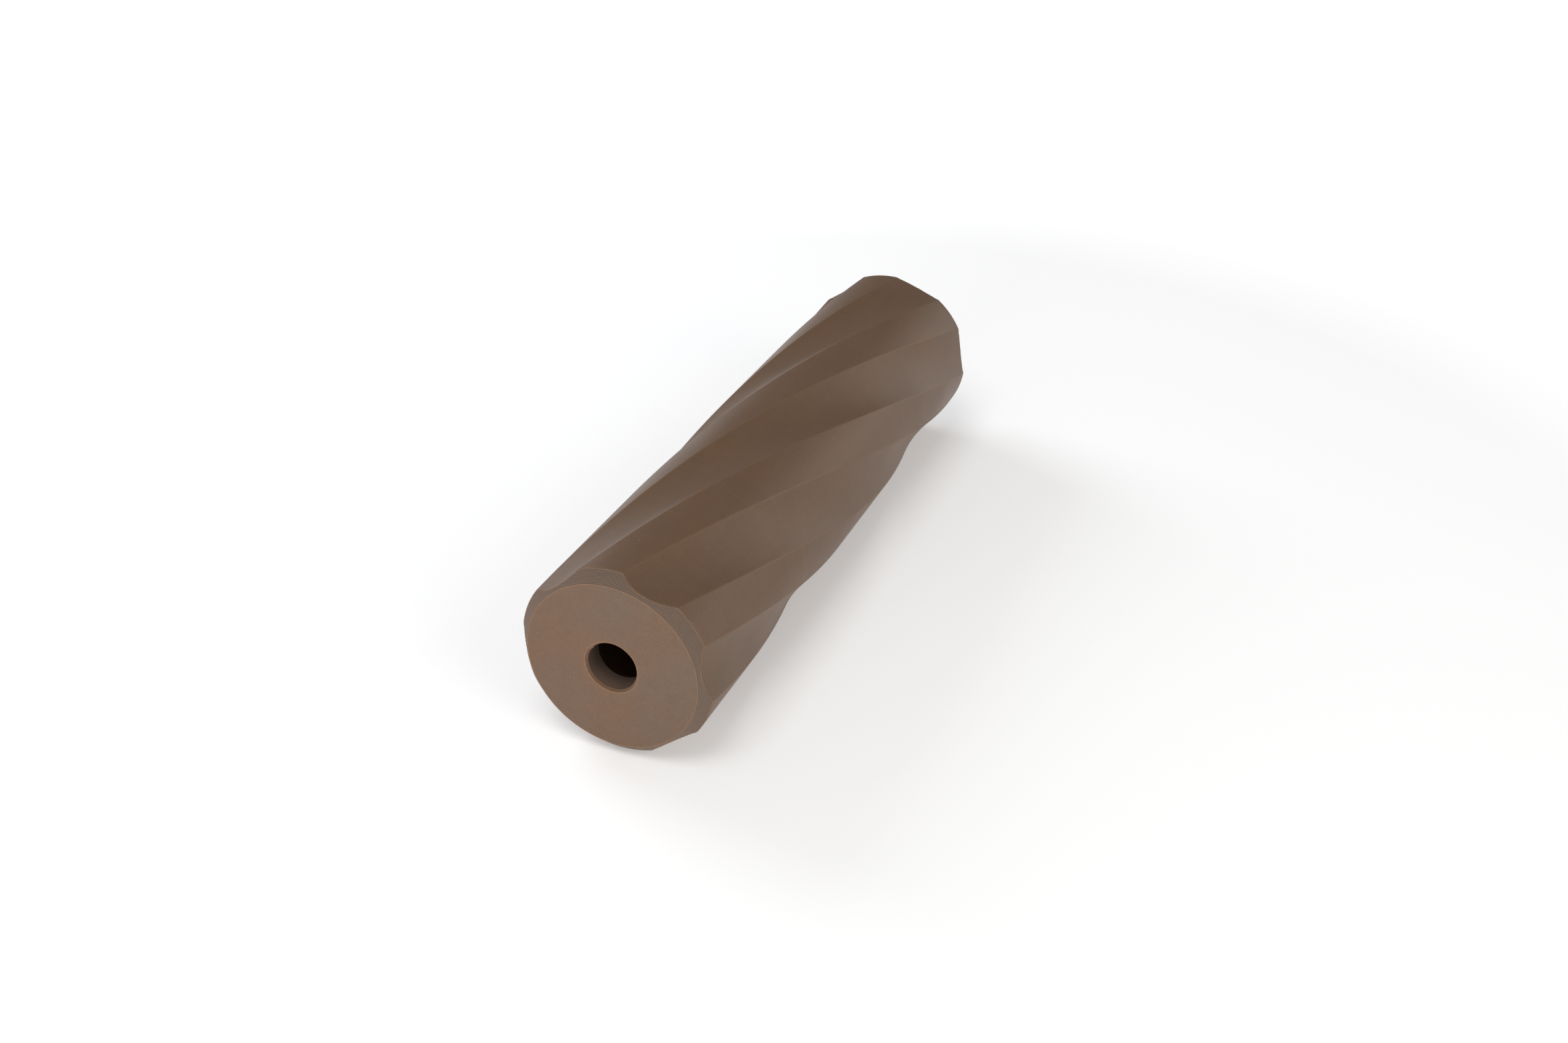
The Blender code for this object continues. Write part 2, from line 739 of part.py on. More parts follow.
def knob_outline():
    """Six round lobes, as (x, z) points on a smooth wave round the axis."""
    depth = 1.5 * MM
    steps = 8 * KNOB_LOBES
    points = []
    for k in range(steps):
        angle = tau * k / steps
        radius = KNOB_RADIUS - depth * (1 - cos(KNOB_LOBES * angle))
        points.append((radius * cos(angle), radius * sin(angle)))
    return points


def clamp_knob(parent, look):
    """Star knob: crowned top, straight lobed grip, and a recess for the bolt's end."""
    top = KNOB_Y + KNOB_HEIGHT
    edge = 1.4 * MM
    insert_end = INSERT_Y + INSERT_LENGTH + GAP
    knob = object_from("clamp_knob", prism(knob_outline(), KNOB_Y, top), parent, look)
    crown = [
        (0, KNOB_Y - MM),
        (KNOB_RADIUS - edge - MM, KNOB_Y - MM),
        (KNOB_RADIUS + MM, KNOB_Y + edge + MM),
        (KNOB_RADIUS + MM, top - 2 * edge - MM),
        (KNOB_RADIUS - edge, top - edge),
        (KNOB_RADIUS - 3 * edge, top + 0.2 * MM),
        (0, top + 0.2 * MM),
    ]
    boolean(knob, "INTERSECT", turned(crown, MEDIUM))
    bore = [
        (0, KNOB_Y - MM),
        (INSERT_RADIUS + GAP, KNOB_Y - MM),
        (INSERT_RADIUS + GAP, insert_end),
        (KNOB_RECESS_RADIUS, insert_end + 0.6 * MM),
        (KNOB_RECESS_RADIUS, top + MM),
        (0, top + MM),
    ]
    boolean(knob, "DIFFERENCE", turned(bore, MEDIUM))


def knob_insert(parent, look):
    high = INSERT_Y + INSERT_LENGTH
    outline = chamfered_ring(BOLT_RADIUS + GAP, INSERT_RADIUS, INSERT_Y, high, 0.4 * MM)
    object_from("knob_insert", turned(outline, MEDIUM), parent, look)


def knob_stop_ring(parent, look):
    inner, outer = BOLT_RADIUS - 0.4 * MM, BOLT_RADIUS + 1.4 * MM
    ear_radius = 1.1 * MM
    spring_ring(
        "knob_stop_ring", inner, outer, STOP_RING_Y, radians(64), outer, ear_radius, parent, look
    )


# ---------------------------------------------------------------- assembly


def build():
    clear_scene()
    looks = make_materials()

    barrel = barrel_frame()
    hub = axis_frame("hub_bush_axis", BUSH_Y + BUSH_LENGTH / 2, barrel)
    closure = axis_frame("closure_seat", LID_SEAT_Y, barrel)
    screw_line = axis_frame("clamp_bolt_axis", BOLT_HEAD_Y, closure)
    knob_axis = axis_frame("knob_axis", KNOB_Y + KNOB_HEIGHT / 2, closure)

    barrel_shell(barrel, looks["printed"])
    front_bulkhead(barrel, looks["lid"])
    bulkhead_o_ring(barrel, looks["seal"])
    bulkhead_screws(barrel, looks["steel"])
    hub_bush(hub, looks["bronze"])
    thrust_pad(barrel, looks["nylon"])
    hub_snap_ring(barrel, looks["spring_steel"])
    liner_end_disc(barrel, looks["rubber"])
    chamber_liner(barrel, looks["rubber"])

    outer_lid(closure, looks["lid"])
    lid_gasket(closure, looks["seal"])
    expansion_ring(closure, looks["rubber"])
    thrust_washer(closure, looks["steel"])

    inner_plate(screw_line, looks["steel"])
    guide_pins(screw_line, looks["steel"])
    plate_facing(screw_line, looks["rubber"])
    bolt_seal_washer(screw_line, looks["seal"])
    clamp_bolt(screw_line, looks["steel"])
    knob_stop_ring(screw_line, looks["spring_steel"])

    clamp_knob(knob_axis, looks["knob"])
    knob_insert(knob_axis, looks["brass"])


build()
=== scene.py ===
"""Looks of the rock tumbler barrel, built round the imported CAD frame.

Every piece of the barrel is made again here with its fine surface: print layers, softened edges, thread,
knurl and wear. Sizes come from the frame's boxes, in metres. Distances called y are counted along the
barrel's axis from the front face.
"""

from collections import namedtuple
from math import acos, asin, atan2, cos, pi, radians, sin, sqrt, tan, tau

import bpy
import numpy as np
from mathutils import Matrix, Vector


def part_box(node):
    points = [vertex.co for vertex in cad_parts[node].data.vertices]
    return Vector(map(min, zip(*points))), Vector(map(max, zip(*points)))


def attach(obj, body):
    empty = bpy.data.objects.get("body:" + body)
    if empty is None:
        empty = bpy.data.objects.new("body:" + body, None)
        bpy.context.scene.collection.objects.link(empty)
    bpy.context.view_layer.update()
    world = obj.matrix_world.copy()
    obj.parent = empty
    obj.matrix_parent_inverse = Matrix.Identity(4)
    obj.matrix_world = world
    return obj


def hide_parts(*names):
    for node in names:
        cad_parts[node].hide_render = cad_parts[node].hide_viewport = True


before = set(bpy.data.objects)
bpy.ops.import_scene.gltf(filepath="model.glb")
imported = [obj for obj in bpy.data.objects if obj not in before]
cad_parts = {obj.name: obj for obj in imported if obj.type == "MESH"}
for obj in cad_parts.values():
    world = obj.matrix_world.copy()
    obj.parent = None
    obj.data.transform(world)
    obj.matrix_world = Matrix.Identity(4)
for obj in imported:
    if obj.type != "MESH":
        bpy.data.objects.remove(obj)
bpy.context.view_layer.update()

# ---------------------------------------------------------------- sizes from the frame

MM = 0.001
SHELL_LOW, SHELL_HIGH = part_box("barrel_shell")
FRONT = SHELL_LOW.y
AXIS_Z = (SHELL_LOW.z + SHELL_HIGH.z) / 2
LENGTH = SHELL_HIGH.y - SHELL_LOW.y
OUTER_RADIUS = (SHELL_HIGH.z - SHELL_LOW.z) / 2


def radius_of(node):
    low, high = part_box(node)
    return max(high.x - low.x, high.z - low.z) / 2


def span_of(node):
    """Where a node starts and ends along the axis, counted from the front face."""
    low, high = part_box(node)
    return low.y - FRONT, high.y - FRONT


# ---------------------------------------------------------------- the shell's own dimensions

LAYER = 0.3 * MM
CHAMFER = 3.4 * MM
FLUTES = 6
FLUTE_DEPTH = 2.5 * MM
FLUTE_ARC_RADIUS = 40.0 * MM
FLUTE_LEAD = 710.0 * MM
FIRST_LAND_ANGLE = radians(38.3)
HOLE_RADIUS = 7.85 * MM
HOLE_MOUTH_STEPS = (8.4 * MM, 8.12 * MM)  # radii of the two stepped layers in the hole's mouth
END_WALL = 7.2 * MM
POCKET_RADIUS = 15.0 * MM
GAP = 0.3 * MM  # air that the frame leaves between pieces that touch
FACE_RADIUS = OUTER_RADIUS - CHAMFER
BORE_RADIUS = radius_of("chamber_liner") + GAP
SHOULDER = span_of("lid_gasket")[0] - GAP
MOUTH_RADIUS = radius_of("outer_lid") + GAP
LAND_EDGE_SOFTNESS = 0.16 * MM
SEAM_ANGLE = radians(140)  # where each layer of the hole's mouth starts and ends
NICK_ANGLE = radians(267)  # of a small nick in the front face's rim
LEAST_PAINTED_SHADE_ANGLE = radians(300)  # the side of the hole's wall with the least painted shade

# ---------------------------------------------------------------- the other pieces' dimensions

BULKHEAD_THICKNESS = 8.0 * MM
LEDGE = span_of("front_bulkhead")[1] - BULKHEAD_THICKNESS - GAP
BOSS_RADIUS = 12.5 * MM
SCREW_COUNT = 4
SCREW_RADIUS = 1.5 * MM
SCREW_HEAD_RADIUS = 2.9 * MM
BUSH_BORE_RADIUS = 6.05 * MM
BUSH_CLEARANCE = 0.1 * MM
CLIP_EYE_RADIUS = 0.5 * MM
LINER_FLAT_RADIUS = 19.0 * MM  # from the axis to the middle of each of the six faces
LINER_CORNER_RADIUS = 5.0 * MM
SPIGOT_RADIUS = 23.0 * MM
EXPANSION_RING_BORE = 13.0 * MM
THREAD_PITCH = 1.25 * MM
BOLT_RADIUS = 4.0 * MM
NECK_HALF_WIDTH = 4.0 * MM
PIN_RADIUS = 1.5 * MM
PLATE_EDGE_THICKNESS = 2.5 * MM
KNOB_LOBES = 6

# ---------------------------------------------------------------- meshes


def mesh_object(name, points, faces, sharp_degrees=32):
    """An object from an array of points and a list of faces, its faces turned outward."""
    mesh = bpy.data.meshes.new(name)
    mesh.from_pydata(points.tolist(), [], faces)
    mesh.update()
    a, b, c = (points[[face[k] for face in faces]] for k in range(3))
    if np.einsum("ij,ij->i", a, np.cross(b, c)).sum() < 0:
        mesh.flip_normals()
    mesh.shade_smooth()
    mesh.set_sharp_from_angle(angle=radians(sharp_degrees))
    made = bpy.data.objects.new(name, mesh)
    bpy.context.scene.collection.objects.link(made)
    return made


def loops_to_object(name, loops, closed=True, sharp_degrees=32):
    """Joins loops of points, each an array (columns, 3), into one closed skin.

    A closed skin runs back from its last loop to its first, as a ring does. An open one is capped flat
    at both ends.
    """
    columns = len(loops[0])
    rows = len(loops)
    first = np.arange(rows if closed else rows - 1)
    second = (first + 1) % rows
    here = np.arange(columns)
    after = (here + 1) % columns
    corners = [
        first[:, None] * columns + here,
        first[:, None] * columns + after,
        second[:, None] * columns + after,
        second[:, None] * columns + here,
    ]
    faces = np.stack(corners, axis=-1).reshape(-1, 4).tolist()
    if not closed:
        faces.append(here[::-1].tolist())
        faces.append(((rows - 1) * columns + here).tolist())
    return mesh_object(name, np.concatenate(loops), faces, sharp_degrees)


def loop(radius, y, angles, centre=(0.0, 0.0)):
    """One loop of points round a line along the axis. Radius and y are numbers, or one value a column."""
    return np.stack(
        [
            centre[0] + radius * np.cos(angles),
            FRONT + y * np.ones(len(angles)),
            AXIS_Z + centre[1] + radius * np.sin(angles),
        ],
        axis=1,
    )


def round_angles(columns):
    return tau * np.arange(columns) / columns


def skin(name, rows, angles, closed=True, sharp_degrees=32, centre=(0.0, 0.0)):
    """An object from rows of (radius, y), all with the same column angles."""
    loops = [loop(radius, y, angles, centre) for radius, y in rows]
    return loops_to_object(name, loops, closed, sharp_degrees)


def prism(name, outline, low, high):
    """A straight bar along the axis, from its (x, z) outline."""
    loops = [np.array([(x, FRONT + y, AXIS_Z + z) for x, z in outline]) for y in (low, high)]
    return loops_to_object(name, loops, closed=False)


def regular_outline(radius, sides, centre):
    """The corners of a regular polygon, which with many sides stands for a circle."""
    return [(centre[0] + radius * cos(a), centre[1] + radius * sin(a)) for a in round_angles(sides)]


def ring_outline(outer, inner, low, high):
    """The rectangular section of a flat ring, as (radius, y) points."""
    return [(outer, low), (outer, high), (inner, high), (inner, low)]


def cut(piece, cutter):
    """Takes the cutter's space out of the piece for good, and removes the cutter."""
    step = piece.modifiers.new("cut", "BOOLEAN")
    step.operation = "DIFFERENCE"
    step.object = cutter
    bpy.context.view_layer.update()
    solved = piece.evaluated_get(bpy.context.evaluated_depsgraph_get())
    mesh = bpy.data.meshes.new_from_object(solved)
    piece.modifiers.clear()
    piece.data = mesh
    mesh.set_sharp_from_angle(angle=radians(32))
    bpy.data.objects.remove(cutter)


def soft_min(a, b, width):
    """The smaller of two arrays, blended over width where they meet."""
    near = np.maximum(width - np.abs(a - b), 0) / width
    return np.minimum(a, b) - near * near * width / 4


def filleted(outline, radius, steps=4, closed=True):
    """The outline of (radius, y) points with its corners rounded off by short curves."""
    rounded = []
    count = len(outline)
    for k, corner in enumerate(outline):
        before, after = outline[k - 1], outline[(k + 1) % count]
        if not closed and k in (0, count - 1):
            rounded.append(corner)
            continue
        here = np.array(corner)
        back, ahead = np.array(before) - here, np.array(after) - here
        lengths = np.hypot(*back), np.hypot(*ahead)
        back, ahead = back / lengths[0], ahead / lengths[1]
        bend = acos(float(np.clip(back @ ahead, -1, 1)))
        if bend > radians(172):
            rounded.append(corner)
            continue
        reach = min(radius / tan(bend / 2), 0.48 * min(lengths))
        start, end = here + back * reach, here + ahead * reach
        for step in range(steps + 1):
            t = step / steps
            point = (1 - t) ** 2 * start + 2 * t * (1 - t) * here + t * t * end
            rounded.append((float(point[0]), float(point[1])))
    return rounded


def lathe(name, outline, columns=128, fillet=0.25 * MM, closed=True, centre=(0.0, 0.0)):
    """A turned piece from (radius, y) points. A closed outline makes a ring, an open one a solid."""
    smooth = filleted(outline, fillet, closed=closed) if fillet else outline
    return skin(name, smooth, round_angles(columns), closed, centre=centre)


def set_attribute(piece, name, values):
    """Stores one number for each point, for a material to read."""
    attribute = piece.data.attributes.new(name, "FLOAT", "POINT")
    attribute.data.foreach_set("value", np.asarray(values, np.float32))


def finish_piece(piece, body, look, node):
    """Gives a piece its material and its body, and hides the CAD node that it stands for."""
    piece.data.materials.clear()
    piece.data.materials.append(look)
    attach(piece, body)
    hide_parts(node)
    return piece


# ---------------------------------------------------------------- materials


class Graph:
    """A small helper that wires shader nodes by name."""

    def __init__(self, name):
        self.material = bpy.data.materials.new(name)
        self.material.use_nodes = True
        self.tree = self.material.node_tree
        self.shader = self.tree.nodes["Principled BSDF"]
        self.place = self.node("ShaderNodeTexCoord").outputs["Object"]

    def node(self, kind, inputs=None, **settings):
        made = self.tree.nodes.new(kind)
        for key, value in settings.items():
            setattr(made, key, value)
        for key, value in (inputs or {}).items():
            self.put(made.inputs[key], value)
        return made

    def put(self, socket, value):
        if isinstance(value, bpy.types.NodeSocket):
            self.tree.links.new(value, socket)
        else:
            socket.default_value = value

    def set(self, key, value):
        self.put(self.shader.inputs[key], value)

    def math(self, operation, a, b=0.0, clamp=False):
        made = self.node("ShaderNodeMath", {0: a, 1: b}, operation=operation, use_clamp=clamp)
        return made.outputs[0]

    def stretched(self, scale):
        made = self.node("ShaderNodeVectorMath", {0: self.place, 1: scale}, operation="MULTIPLY")
        return made.outputs[0]

    def noise(self, scale, detail=3.0, stretch=(1, 1, 1), roughness=0.5):
        inputs = {"Vector": self.stretched(stretch), "Scale": scale, "Detail": detail}
        inputs["Roughness"] = roughness
        return self.node("ShaderNodeTexNoise", inputs).outputs["Fac"]

    def ramp(self, value, low, high, to_low=0.0, to_high=1.0):
        """Value taken from the range low to high into the range to_low to to_high, held at its ends."""
        inputs = {"Value": value, "From Min": low, "From Max": high, "To Min": to_low, "To Max": to_high}
        return self.node("ShaderNodeMapRange", inputs).outputs[0]

    def mix(self, share, a, b, blend="MIX"):
        made = self.node("ShaderNodeMix", data_type="RGBA", blend_type=blend)
        self.put(made.inputs["Factor"], share)
        self.put(made.inputs["A"], a)
        self.put(made.inputs["B"], b)
        return made.outputs["Result"]

    def attribute(self, name):
        return self.node("ShaderNodeAttribute", attribute_name=name).outputs["Fac"]

    def axis_parts(self, vector=None):
        """x, y and z of a vector, or of the point itself, as sockets."""
        return self.node("ShaderNodeSeparateXYZ", {0: vector or self.place}).outputs

    def bump(self, height, distance, strength=1.0, below=None):
        inputs = {"Height": height, "Distance": distance, "Strength": strength}
        if below is not None:
            inputs["Normal"] = below
        return self.node("ShaderNodeBump", inputs).outputs[0]


def rgb(red, green, blue):
    """A linear colour from screen values of 0 to 255."""

    def linear(value):
        value /= 255
        return value / 12.92 if value <= 0.04045 else ((value + 0.055) / 1.055) ** 2.4

    return (linear(red), linear(green), linear(blue), 1.0)


def tinted(tone, red, green, blue):
    """A tone with each of its screen values multiplied."""
    return rgb(tone[0] * red, tone[1] * green, tone[2] * blue)


# Tints of the walls and of the end faces; the end faces' tint is a painted lightness for the stronger
# light falling on them.
WALL_TINT = (0.985, 0.915, 0.815, 1.0)
END_FACE_PAINTED_LIGHT = (1.1, 1.1, 1.1, 1.0)
STONE_DUST = (112, 106, 98)


def printed_plastic(name, tone):
    """Matt printed plastic, its layers stacked along the barrel's axis.

    End faces are painted paler than the walls, a painted lightness for the stronger light on them, and are
    more blotched. Four point attributes mark the edges, lightened for wear and as painted highlights, the
    gaps between layers, the stepped chamfers, and the cavity walls, darkened with painted shade.
    """
    g = Graph(name)
    facing = g.axis_parts(g.node("ShaderNodeNewGeometry").outputs["Normal"])[1]
    end_face = g.ramp(g.math("ABSOLUTE", facing), 0.5, 0.95)

    blotch = g.noise(62, 2.0, (1, 0.7, 1), 0.5)
    share = g.math("MULTIPLY", g.math("SUBTRACT", blotch, 0.5), g.ramp(end_face, 0, 1, 0.9, 2.0))
    share = g.math("ADD", share, 0.5, clamp=True)
    colour = g.mix(share, tinted(tone, 1.025, 0.985, 0.95), tinted(tone, 0.97, 1.005, 1.025))

    grain = g.noise(2300, 2.0)
    streak = g.noise(300, 3.0, (1, 0.15, 1), 0.6)
    band = g.noise(500, 2.0, (0.02, 1, 0.02))
    shade = g.ramp(grain, 0.3, 0.7, 0.93, 1.07)
    shade = g.math("MULTIPLY", shade, g.ramp(streak, 0.3, 0.7, 0.975, 1.025))
    shade = g.math("MULTIPLY", shade, g.ramp(band, 0.3, 0.7, 0.98, 1.02))
    along = g.math("SUBTRACT", g.axis_parts()[1], FRONT)
    layer = g.math("SINE", g.math("MULTIPLY", along, tau / LAYER))
    shade = g.math("MULTIPLY", shade, g.ramp(layer, -1.0, 1.0, 0.965, 1.035))
    shade_colour = g.node("ShaderNodeCombineColor", {0: shade, 1: shade, 2: shade}).outputs[0]
    colour = g.mix(1.0, colour, shade_colour, "MULTIPLY")
    # End faces painted paler than the walls: painted light.
    colour = g.mix(1.0, colour, g.mix(end_face, WALL_TINT, END_FACE_PAINTED_LIGHT), "MULTIPLY")

    colour = g.mix(g.math("MULTIPLY", g.attribute("grey"), 0.64), colour, tinted(tone, 1.1, 1.18, 1.27))
    # Edges lightened, partly as worn plastic and partly as painted highlights where the edges would catch
    # the light.
    patchy = g.ramp(g.noise(500, 2.0), 0.25, 0.6, 0.55, 1.0)
    wear = g.math("MULTIPLY", g.attribute("wear"), patchy)
    colour = g.mix(g.math("MULTIPLY", wear, 0.6), colour, tinted(tone, 1.4, 1.3, 1.15))
    groove = g.math("MULTIPLY", g.attribute("groove"), 0.38)
    colour = g.mix(groove, colour, tinted(tone, 0.66, 0.56, 0.5))
    specks = g.node("ShaderNodeTexVoronoi", {"Vector": g.place, "Scale": 80.0}).outputs["Distance"]
    colour = g.mix(g.ramp(specks, 0.008, 0.015, 0.6, 0.0), colour, rgb(196, 186, 170))
    # Cavity walls darkened towards a dark tone: painted shade.
    colour = g.mix(g.attribute("inside"), colour, tinted(tone, 0.38, 0.4, 0.45))
    g.set("Base Color", colour)

    g.set("Roughness", g.ramp(blotch, 0.3, 0.7, 0.37, 0.43))
    g.set("Specular IOR Level", 0.16)
    g.set("Specular Tint", (1.0, 0.8, 0.66, 1.0))
    g.set("Normal", g.bump(layer, 0.016 * MM, 0.5, g.bump(grain, 0.015 * MM, 0.5)))
    return g.material


def moulded_rubber(name, tone, dusty=0.3):
    """Matt rubber with a fine grain, slightly greyed by stone dust."""
    g = Graph(name)
    dust = g.ramp(g.noise(160, 5.0, roughness=0.65), 0.45, 0.75, 0.0, dusty)
    colour = g.mix(dust, rgb(*tone), rgb(*STONE_DUST))
    g.set("Base Color", colour)
    g.set("Roughness", g.ramp(g.noise(600, 3.0), 0.3, 0.7, 0.62, 0.8))
    g.set("Specular IOR Level", 0.35)
    coarse = g.bump(g.noise(900, 3.0), 0.05 * MM, 0.5)
    g.set("Normal", g.bump(g.noise(4200, 2.0), 0.015 * MM, 0.6, coarse))
    return g.material


def turned_metal(name, tone, roughness, tarnish=(70, 62, 54), tarnished=0.25):
    """Metal with fine turning marks round the axis and a little tarnish."""
    g = Graph(name)
    x, y, z = g.axis_parts()
    z = g.math("SUBTRACT", z, AXIS_Z)
    radius = g.math("SQRT", g.math("ADD", g.math("MULTIPLY", x, x), g.math("MULTIPLY", z, z)))
    rings = g.node("ShaderNodeCombineXYZ", {0: radius, 1: y, 2: 0.0}).outputs[0]
    marks = g.node("ShaderNodeTexNoise", {"Vector": rings, "Scale": 6000.0, "Detail": 2.0}).outputs["Fac"]
    stain = g.noise(240, 4.0, roughness=0.65)
    colour = g.mix(g.ramp(stain, 0.5, 0.75, 0.0, tarnished), rgb(*tone), rgb(*tarnish))
    g.set("Base Color", colour)
    g.set("Metallic", 1.0)
    level = g.ramp(marks, 0.3, 0.7, roughness - 0.06, roughness + 0.08)
    g.set("Roughness", g.math("ADD", level, g.ramp(stain, 0.5, 0.8, 0.0, 0.2)))
    g.set("Normal", g.bump(marks, 0.006 * MM, 0.5))
    return g.material


def moulded_plastic(name, tone, roughness=0.42):
    """Satin moulded plastic with a fine spark texture and handling marks."""
    g = Graph(name)
    grain = g.noise(3200, 2.0)
    marks = g.noise(180, 5.0, roughness=0.7)
    scuffed = rgb(*(min(255, value * 1.7) for value in tone))
    colour = g.mix(g.ramp(marks, 0.45, 0.75, 0.0, 0.25), rgb(*tone), scuffed)
    colour = g.mix(g.math("MULTIPLY", g.attribute("wear"), 0.35), colour, rgb(96, 94, 90))
    g.set("Base Color", colour)
    g.set("Roughness", g.ramp(marks, 0.3, 0.7, roughness - 0.05, roughness + 0.12))
    g.set("Normal", g.bump(grain, 0.012 * MM, 0.7))
    return g.material


# ---------------------------------------------------------------- shell


def shell_phases():
    """Angles of the columns round the shell, closer together at the edges of the lands."""
    pitch = tau / FLUTES
    half_land = pitch / 2 - flute_half_angle()
    near = radians(1.2)
    one = np.concatenate(
        [
            np.linspace(-half_land + near, half_land - near, 9, endpoint=False),
            np.linspace(half_land - near, half_land + near, 6, endpoint=False),
            np.linspace(half_land + near, pitch - half_land - near, 17, endpoint=False),
            np.linspace(pitch - half_land - near, pitch - half_land + near, 6, endpoint=False),
        ]
    )
    return np.concatenate([one + k * pitch for k in range(FLUTES)])


def flute_centre():
    return OUTER_RADIUS - FLUTE_DEPTH + FLUTE_ARC_RADIUS


def flute_half_angle():
    """Half the angle at which a flute's arc cuts the outer circle."""
    centre = flute_centre()
    cosine = (OUTER_RADIUS**2 + centre**2 - FLUTE_ARC_RADIUS**2) / (2 * OUTER_RADIUS * centre)
    return acos(cosine)


def fluted_radius(phases):
    """Radius of the lands and flutes, with the lands' edges slightly softened."""
    pitch = tau / FLUTES
    from_flute = pitch / 2 - np.abs(np.mod(phases + pitch / 2, pitch) - pitch / 2)
    centre = flute_centre()
    reach = np.maximum(FLUTE_ARC_RADIUS**2 - (centre * np.sin(from_flute)) ** 2, 0)
    flute = centre * np.cos(from_flute) - np.sqrt(reach)
    flute = np.where(from_flute < radians(25), flute, 2 * OUTER_RADIUS)
    return soft_min(np.full(len(phases), OUTER_RADIUS), flute, LAND_EDGE_SOFTNESS)


# One row of the shell's skin: its radius and y, and the shares that its material reads. All but y may be
# one number, or one value for each column.
Row = namedtuple("Row", "radius y wear groove inside grey", defaults=(0.0, 0.0, 0.0, 0.0))

# One printed layer of a chamfer: how far along its riser, how far out from it, and the groove's share.
LAYER_STEPS = (
    (0.03, -0.05 * MM, 0.0),
    (0.2, 0.0, 0.0),
    (0.7, 0.0, 0.15),
    (0.93, -0.04 * MM, 1.0),
    (1.0, 0.04 * MM, 0.9),
    (1.0, 0.1 * MM, 0.0),
)


def chamfer_rows(outside):
    """Rows of a stepped chamfer from the face to the lands, its y counted from the face."""
    rows = []
    layers = round(CHAMFER / LAYER) + 2
    for number in range(layers):
        base = FACE_RADIUS + number * LAYER
        strength = (0.4 + 0.45 * number / layers) * (1 + 0.35 * cos(2.1 * number))
        for share, out, groove in LAYER_STEPS:
            radius = np.minimum(outside, base + out)
            cone = outside > base + out
            # The lightened outer edge of each layer: wear and a painted highlight.
            edge = 0.8 * np.exp(-(((outside - base) / (0.2 * MM)) ** 2))
            gap = strength * groove * cone * (1 - edge)
            rows.append(Row(radius, (number + share) * LAYER, wear=edge, groove=gap, grey=1.0 * cone))
    return rows


def land_edges(phases):
    """One at the edges of the lands, falling to nothing over half a millimetre."""
    pitch = tau / FLUTES
    from_land = np.abs(np.mod(phases + pitch / 2, pitch) - pitch / 2)
    from_edge = (from_land - (pitch / 2 - flute_half_angle())) * OUTER_RADIUS
    return np.exp(-((from_edge / (0.3 * MM)) ** 2))


def face_rows():
    """The front face, from a thin raised bead round its rim to another round the hole."""
    mouth = HOLE_MOUTH_STEPS[0]
    # The rim's bead is lightened: wear and a painted highlight.
    rows = [
        Row(FACE_RADIUS - 0.02 * MM, 0.03 * MM, wear=1.0),
        Row(FACE_RADIUS - 0.1 * MM, -0.03 * MM, wear=1.0),
        Row(FACE_RADIUS - 0.26 * MM, -0.03 * MM, wear=0.7),
        Row(FACE_RADIUS - 0.36 * MM, 0.0),
    ]
    for share in (0.9, 0.75, 0.6, 0.45, 0.3, 0.15):
        rows.append(Row(mouth + share * (FACE_RADIUS - mouth - 0.5 * MM), 0.0))
    # The edge round the hole is lightened: wear and a painted highlight.
    rows += [
        Row(mouth + 0.5 * MM, 0.0, wear=0.1),
        Row(mouth + 0.3 * MM, -0.02 * MM, wear=0.6),
        Row(mouth + 0.1 * MM, -0.01 * MM, wear=0.9),
    ]
    return rows


def hole_rows(phases):
    """The hole: two stepped layers, then a straight wall of beads, in painted shade that deepens inward.
    """
    # Painted shade round the hole's wall, least at one angle and most opposite it.
    painted_shade = 0.6 - 0.35 * np.cos(phases + FIRST_LAND_ANGLE - LEAST_PAINTED_SHADE_ANGLE)
    rows = []
    for number, radius in enumerate(HOLE_MOUTH_STEPS):
        low = number * LAYER
        # Each step's lip is lightened: wear and a painted highlight.
        rows += [
            Row(radius + 0.03 * MM, low + 0.05 * LAYER, wear=0.7),
            Row(radius, low + 0.3 * LAYER, wear=0.5),
            Row(radius, low + 0.75 * LAYER),
            Row(radius + 0.05 * MM, low + 0.97 * LAYER, groove=1.0),
        ]
    wall = len(HOLE_MOUTH_STEPS) * LAYER
    # The wall's first bead is lightened: wear and a painted highlight.
    rows.append(Row(HOLE_RADIUS + 0.04 * MM, wall + 0.02 * LAYER, wear=0.5))
    beads = round((END_WALL - wall) / LAYER)
    for number in range(beads):
        low = wall + number * LAYER
        # Deeper beads darker: painted shade.
        shade = 0.8 * painted_shade * (0.6 + 0.4 * (number + 1) / beads)
        rows += [
            Row(HOLE_RADIUS, low + 0.4 * LAYER, inside=shade, grey=0.9),
            Row(HOLE_RADIUS + 0.04 * MM, low + 0.95 * LAYER, groove=0.7, inside=shade, grey=0.9),
        ]
    # The wall's inner end: painted shade, and a painted highlight on its edge.
    rows.append(Row(HOLE_RADIUS + 0.12 * MM, END_WALL, wear=0.5, inside=painted_shade))
    return rows


